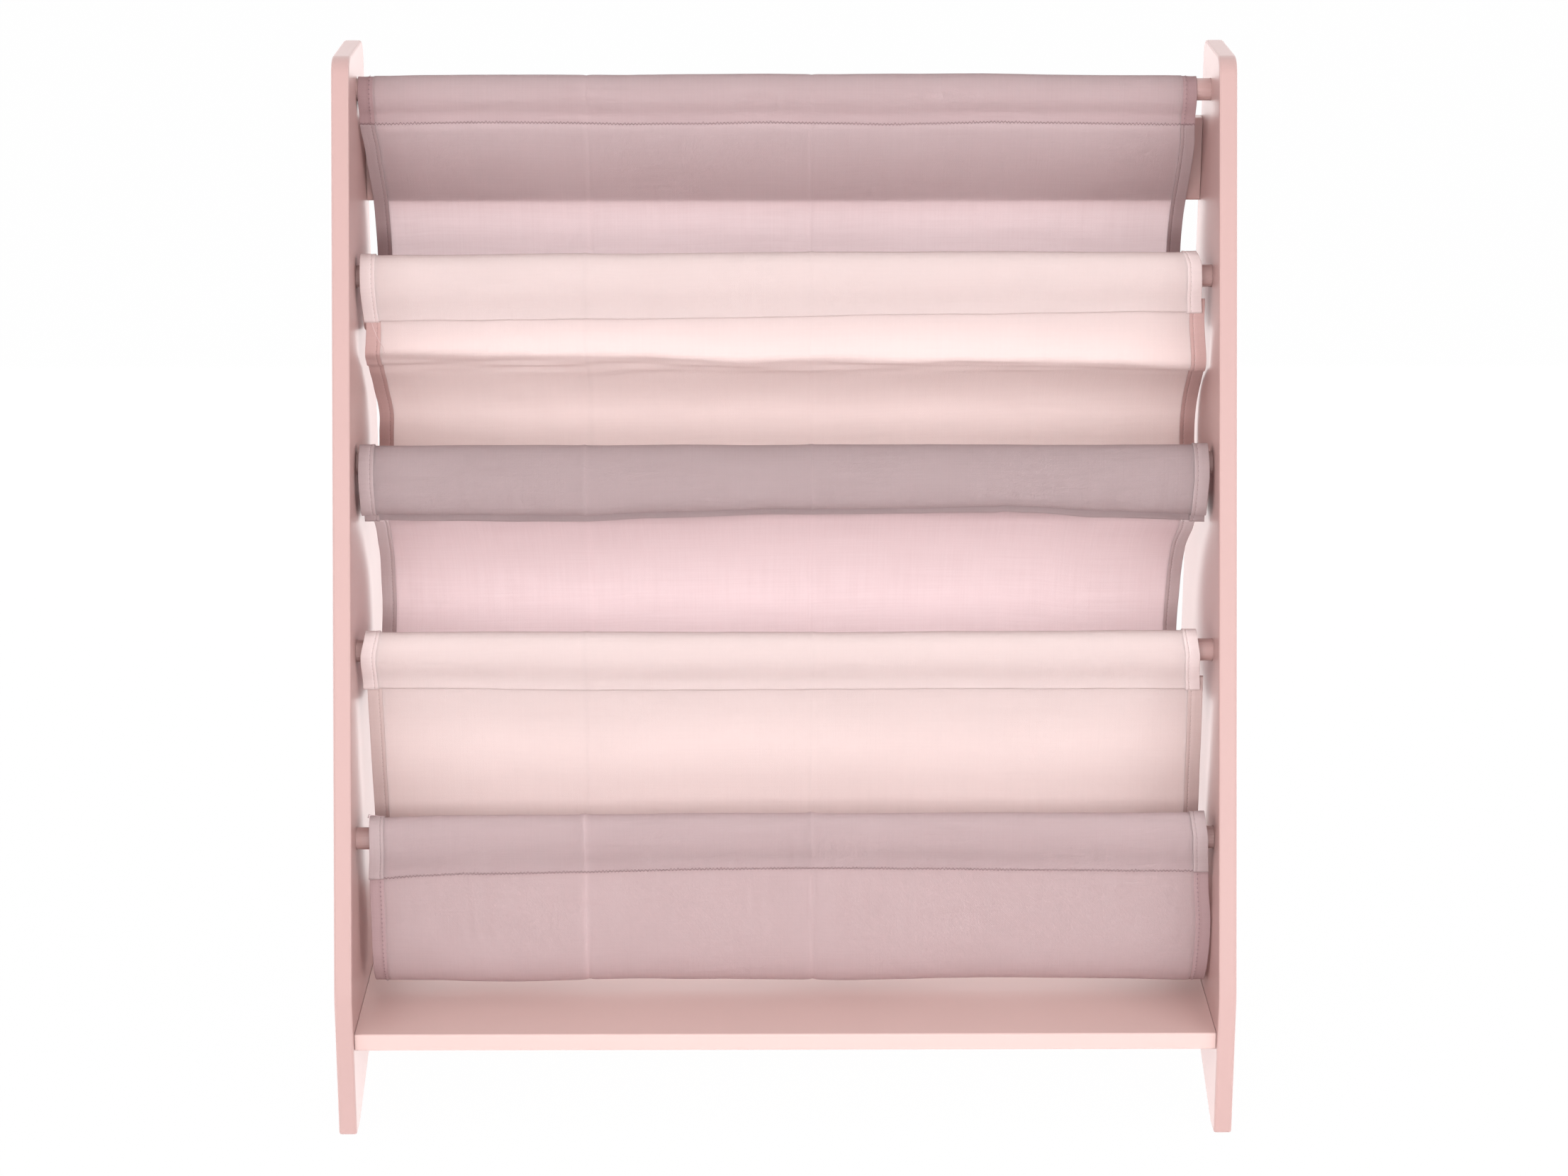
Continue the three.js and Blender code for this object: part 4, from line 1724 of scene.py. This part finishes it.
@dataclass
class SlingCloth:
    """The four pockets, each of a back panel and a front panel, in two colours that change about."""

    mauve: Stock = Stock(
        Canvas(
            "mauve_canvas", colour=(0.79, 0.635, 0.645), through=(0.96, 0.87, 0.88),
            light_share=0.6, twill_share=0.75,
        ),
        # The folded strips' darker colour is a painted shade.
        Canvas(
            "mauve_canvas_folded_shaded", colour=(0.46, 0.355, 0.36), through=(0.9, 0.8, 0.82),
            light_share=0.22, twill_share=0.75,
        ),
        SewingThread("mauve_thread", linear(176, 146, 150)),
    )
    pale: Stock = Stock(
        Canvas(
            "pale_canvas", colour=(0.97, 0.815, 0.80), through=(0.93, 0.85, 0.83),
            # The pale canvas gets painted shade along its creases.
            light_share=0.45, twill_share=0.2, painted_crease_shading=-0.03,
        ),
        # The folded strips' darker colour is a painted shade.
        Canvas(
            "pale_canvas_folded_shaded", colour=(0.76, 0.62, 0.61), through=(0.9, 0.8, 0.78),
            light_share=0.2, twill_share=0.2,
        ),
        SewingThread("pale_thread", linear(226, 204, 202)),
    )
    edge_thread: SewingThread = SewingThread("edge_thread", linear(150, 122, 126))
    # Each look's first number is the panel's painted shade, and its colours are the painted shade of its hems
    # and of the strips folded behind them.
    looks: Mapping[str, PanelLook] = field(
        default_factory=lambda: {
            "pocket_1_back": PanelLook(0.92, (0.43, 0.28, 0.29), (0.42, 0.31, 0.315), crease_height=0.6),
            "pocket_1_front": PanelLook(0.97, (0.64, 0.46, 0.44)),
            "pocket_2_back": PanelLook(
                0.97, (0.57, 0.325, 0.30), (0.63, 0.41, 0.39), wrinkle_height=2.6,
                loose=(
                    ((-278.9, 518.6, 0.2), (-277.5, 513.7, 0.6), (-275.8, 508.7, 0.3), (-274.0, 504.8, 0.7),
                     (-271.3, 499.9, 0.4), (-270.5, 495.9, 0.2)),
                ),
            ),
            "pocket_2_front": PanelLook(0.83, (0.35, 0.213, 0.222)),
            "pocket_3_back": PanelLook(1.0, (0.65, 0.45, 0.46), (0.68, 0.56, 0.565)),
            "pocket_3_front": PanelLook(0.98, (0.745, 0.56, 0.54)),
            "pocket_4_back": PanelLook(0.94, (0.57, 0.386, 0.37), (0.64, 0.49, 0.47)),
            "pocket_4_front": PanelLook(
                # Its creases get the strongest painted light.
                0.9, (0.47, 0.32, 0.33), painted_crease_shading=0.15, crease_height=1.1,
                loose=(
                    ((-268.9, 210.6, 0.1), (-273.0, 211.2, 0.2), (-276.0, 211.6, 0.3), (-278.2, 209.9, 0.9),
                     (-278.6, 208.6, 0.9), (-277.1, 208.0, 0.4)),
                ),
            ),
        }
    )

    def section(self) -> SlingSection:
        """The section with this object's sleeves and pockets.

        Returns:
            How the cloth of all the panels runs.
        """
        sleeves = (
            Sleeve(
                ahead=0.19, hang=0.3, bulge=0.66, lift=1.04, handle=0.75,
                droop=((-1, 0.9), (-0.7, -0.2), (-0.3, 1.0), (0.0, 0.1), (0.25, 1.3), (0.5, 0.0), (1, 1.6)),
                loft=((-1, -3.4), (-0.6, -1.2), (0.2, 0.4), (1, -3.4)),
            ),
            Sleeve(
                ahead=0.56, hang=0.5, bulge=0.72, lift=2.22, handle=1.4,
                droop=((-1, 2.9), (-0.35, 1.6), (0.4, -1.6), (1, -3.2)),
                loft=((-1, -4.5), (-0.4, -1.0), (0.4, 1.0), (1, -2.5)),
            ),
            Sleeve(
                ahead=-0.3, hang=1.2, bulge=2.1, lift=2.1, handle=-1.6,
                droop=((-1, 4.4), (-0.48, 5.6), (-0.32, 3.0), (0.0, 0.6), (0.5, -0.6), (0.53, -1.6),
                       (0.58, -0.6), (0.75, 3.0), (1, 5.0)),
                loft=((-1, 2.0), (0, 0.5), (1, 2.0)),
                ease=8,
            ),
            Sleeve(
                ahead=0.25, hang=0.6, bulge=0.7, lift=1.6, handle=1.4,
                droop=((-1, -2.0), (-0.3, -0.2), (0.0, -0.6), (0.3, -1.0), (1, -0.8)),
                loft=((-1, -1.0), (-0.8, 0.6), (0.1, -0.3), (0.9, 2.0), (1, 2.6)),
            ),
            Sleeve(
                ahead=0.56, hang=0.22, bulge=0.66, lift=2.55, handle=0.75,
                droop=((-1, 4.8), (-0.75, 1.4), (0.0, -2.0), (1, 0.2)),
                loft=((-1, -5.0), (-0.8, -1.0), (0.0, 1.0), (0.6, 1.8), (1, 2.8)),
            ),
        )
        pockets = (
            Pocket(
                belly=0.8, floor=1.0, seam_handle=0.1, belly_handle=0.35,
                back_left=((0.3, -4.4), (0.4, -2.6), (0.58, -0.7), (0.74, 0.0)),
                back_right=((0.3, 4.4), (0.38, 3.0), (0.74, 6.3)),
                front_left=((0.6, -2.0), (0.8, -2.3), (0.88, -1.8), (1.0, -0.6)),
                front_right=((0.68, 5.9), (0.76, 2.5), (0.87, 1.9), (1.0, 0.5)),
            ),
            Pocket(
                belly=1.0, floor=-0.1, seam_handle=0.32, belly_handle=0.28, back=1.0, fold=0.35,
                bend=((-1, 22.5), (-0.35, 26.0), (-0.1, 30.0), (0.05, 29.5), (0.4, 33.0), (1, 36.5)),
                back_left=((0.07, 0.2), (0.23, -1.9), (0.45, -1.0), (0.6, 1.0), (0.67, 0.4)),
                back_right=((0.07, -1.0), (0.23, -3.2), (0.45, -4.6), (0.67, -3.8)),
                front_left=((0.51, -2.9), (0.67, -2.8), (0.77, -2.2), (1.0, -2.4)),
                front_right=((0.51, -1.8), (0.67, -2.0), (0.77, -1.0), (1.0, -2.8)),
            ),
            Pocket(
                belly=1.07, floor=1.27, seam_handle=0.14, belly_handle=0.4, back=1.39, lean=-0.16, fold=0.6,
                back_left=((0.09, 3.7), (0.27, 2.7), (0.5, 1.2), (0.7, 0.4)),
                back_right=((0.09, 3.5), (0.27, 5.3), (0.5, 5.4), (0.7, 6.9)),
                front_left=((0.7, 1.1), (0.81, -2.1), (1.0, -1.7)),
                front_right=((0.7, 6.4), (0.81, 4.0), (1.0, 2.1)),
            ),
            Pocket(
                belly=0.95, floor=0.0, seam_handle=0.3, belly_handle=0.3, back=0.2, fold=0.85, front_sway=0.3,
                back_left=((0.04, 0.9), (0.24, 1.4), (0.45, 1.8)),
                back_right=((0.04, 0.3), (0.24, -0.2), (0.45, -1.0)),
                front_left=((0.13, 3.7), (0.36, 3.5), (0.5, 2.8), (0.8, 4.3), (0.89, 4.2), (1.0, 2.6)),
                front_right=((0.13, -3.0), (0.36, -4.4), (0.5, -2.6), (0.8, 1.9), (0.89, -0.5), (1.0, -2.1)),
            ),
        )
        return SlingSection(sleeves=sleeves, pockets=pockets)

    def build(self) -> None:
        """Sews and hangs all eight panels."""
        section = self.section()
        stocks = {Dye.MAUVE: self.mauve, Dye.PALE: self.pale}
        edge_thread = self.edge_thread.material()
        threads = {dye: stock.thread.material() for dye, stock in stocks.items()}
        for index in range(len(section.pockets)):
            for is_back in (True, False):
                dye = Dye.MAUVE if (index % 2 == 0) == is_back else Dye.PALE
                node = f"pocket_{index + 1}_{'back' if is_back else 'front'}"
                look, stock = self.looks[node], stocks[dye]
                panel = SlingPanel(
                    node=node,
                    slot=f"{dye.value}_canvas",
                    look=look,
                    canvas=stock.canvas.with_painted_shade(look).material(),
                    shaded_hem_canvas=stock.folded.folded(look.fold).material(),
                    thread=threads[dye],
                    edge_thread=edge_thread,
                    section=section,
                    pocket=index,
                    is_back=is_back,
                )
                panel.build()


# Boards, rods and fasteners, which keep the frame's own shapes


class Coat(Enum):
    """What a solid of the frame is finished with."""

    LACQUER = "pink lacquer"
    # A lighter copy of the pink lacquer: painted light for the bright light that falls on the shelf.
    LIT_SHELF_LACQUER = "pink lacquer of the shelf"
    ZINC = "zinc"
    BEECH = "beech"

    @classmethod
    def of(cls, node: str) -> "Coat":
        """The coat of a node, by what its name says that it is.

        Args:
            node: the node's name.

        Returns:
            Its coat.
        """
        if node == "bottom_shelf":
            return cls.LIT_SHELF_LACQUER
        if "screw" in node:
            return cls.ZINC
        return cls.BEECH if "pin" in node else cls.LACQUER


@dataclass(frozen=True)
class Joinery:
    """The boards, rods, screws and pins, dressed in their finishes."""

    lacquer: Lacquer = Lacquer()
    # A lighter copy of the pink lacquer: painted light for the bright light that falls on the shelf.
    lit_shelf_lacquer: Lacquer = Lacquer("pink_lacquer_shelf_lit", linear(206, 174, 169))
    zinc: ZincSteel = ZincSteel()
    beech: Beech = Beech()

    def dress(self) -> None:
        """Gives each solid its finish."""
        finishes = {
            Coat.LACQUER: self.lacquer.material(),
            Coat.LIT_SHELF_LACQUER: self.lit_shelf_lacquer.material(),
            Coat.ZINC: self.zinc.material(),
            Coat.BEECH: self.beech.material(),
        }
        for name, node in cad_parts.items():
            if name.startswith("pocket"):
                continue
            coat = Coat.of(name)
            node.data.materials.clear()
            node.data.materials.append(finishes[coat])
            LOG.info("%s: %s", name, coat.value)


# The studio


@dataclass(frozen=True)
class PaleFloor(Finish):
    """A matt floor with a faint shadow, almost white to the camera, that glows as a painted reflection in
    gloss.
    """

    name: str = "pale_floor"
    colour: Colour = (0.9, 0.9, 0.9)
    cloud_per_metre: float = 3.0
    darkest: float = 0.99
    tint_change: float = 0.02
    roughness: float = 0.9
    # How bright the floor glows in reflections: a painted reflection.
    glow_in_reflections: float = 2.6
    white_share: float = 0.985

    def shader(self, graph: Graph) -> Value:
        """Draws the shader.

        Args:
            graph: the material's nodes.

        Returns:
            The shader.
        """
        cloud = graph.noise(graph.place(), self.cloud_per_metre)
        tone = graph.shaded(self.colour, self.darkest + cloud * self.tint_change)
        matt = graph.principled({"Base Color": tone, "Roughness": self.roughness})
        # The floor glows for glossy rays only: a painted bright reflection.
        bright = graph.white("ShaderNodeEmission", self.glow_in_reflections)
        lit = graph.blended(graph.seen_by("Glossy"), matt, bright)
        plain = graph.white("ShaderNodeEmission", 1.0)
        return graph.blended(graph.seen_by("Camera") * self.white_share, lit, plain)


@dataclass(frozen=True)
class Lamp:
    """A soft rectangular lamp that looks at the middle of the shelf, and isn't mirrored in it."""

    name: str
    place: Point
    size: tuple[float, float]
    power: float
    target: Point = (0.0, 0.0, 0.35)

    def build(self) -> None:
        """Hangs the lamp."""
        data = bpy.data.lights.new(self.name, "AREA")
        data.shape = "RECTANGLE"
        data.size, data.size_y = self.size
        data.energy = self.power
        lamp = placed(self.name, data)
        lamp.location = self.place
        aim = Vector(self.target) - Vector(self.place)
        lamp.rotation_euler = aim.to_track_quat("-Z", "Y").to_euler()
        lamp.visible_camera = False
        lamp.visible_glossy = False


@dataclass(frozen=True)
class Studio:
    """A pale floor, soft light from all round, and the camera."""

    camera_place: Point = (-0.01295, -2.19136, 1.06236)
    camera_tilt: Point = (71.81, -0.02, -0.32)
    lens: float = 78.0
    sensor: float = 36.0
    nearest: float = 0.05
    farthest: float = 100.0
    sky: float = 0.62
    sky_in_gloss: float = 2.0
    floor: PaleFloor = PaleFloor()
    floor_size: float = 30.0
    lamps: tuple[Lamp, ...] = (
        Lamp("key_light", (-1.7, -1.9, 1.5), (2.2, 1.4), 20.0),
        Lamp("fill_light", (1.7, -1.8, 1.0), (1.4, 1.2), 17.0),
        Lamp("top_light", (0.0, -0.5, 2.3), (2.4, 1.6), 5.0),
        Lamp("low_light", (0.0, -1.5, 0.6), (1.8, 0.3), 12.0),
        Lamp("back_light", (0.0, 1.9, 0.5), (2.4, 0.8), 34.0),
    )

    def build(self) -> None:
        """Sets the scene up."""
        self._camera()
        self._floor()
        self._sky()
        for lamp in self.lamps:
            lamp.build()
        bpy.context.scene.view_settings.view_transform = "Standard"

    def _camera(self) -> None:
        """The camera, in front of the shelf and above it, which looks down a little."""
        data = bpy.data.cameras.new("camera")
        data.lens = self.lens
        data.sensor_width = self.sensor
        data.clip_start = self.nearest
        data.clip_end = self.farthest
        camera = placed("camera", data)
        camera.location = self.camera_place
        camera.rotation_euler = Euler([math.radians(angle) for angle in self.camera_tilt])
        bpy.context.scene.camera = camera

    def _floor(self) -> None:
        """A plain pale floor that keeps a faint shadow."""
        bm = bmesh.new()
        bmesh.ops.create_grid(bm, x_segments=1, y_segments=1, size=self.floor_size / 2)
        finished(bm, "floor", self.floor.material())

    def _sky(self) -> None:
        """Even white light, which the camera sees as plain white and the gloss as a bright surround."""
        world = bpy.data.worlds.new("studio")
        bpy.context.scene.world = world
        world.use_nodes = True
        graph = Graph(world.node_tree)
        light = graph.white("ShaderNodeBackground", self.sky)
        gloss = graph.white("ShaderNodeBackground", self.sky_in_gloss)
        plain = graph.white("ShaderNodeBackground", 1.0)
        lit = graph.blended(graph.seen_by("Glossy"), light, gloss)
        seen = graph.blended(graph.seen_by("Camera"), lit, plain)
        graph.node("ShaderNodeOutputWorld", {}, {"Surface": seen})


def main() -> None:
    """Builds everything in order."""
    logging.basicConfig(level=logging.INFO, format="%(name)s: %(message)s")
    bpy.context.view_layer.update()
    Studio().build()
    Joinery().dress()
    SlingCloth().build()
    bpy.context.view_layer.update()


if __name__ == "__main__":
    main()
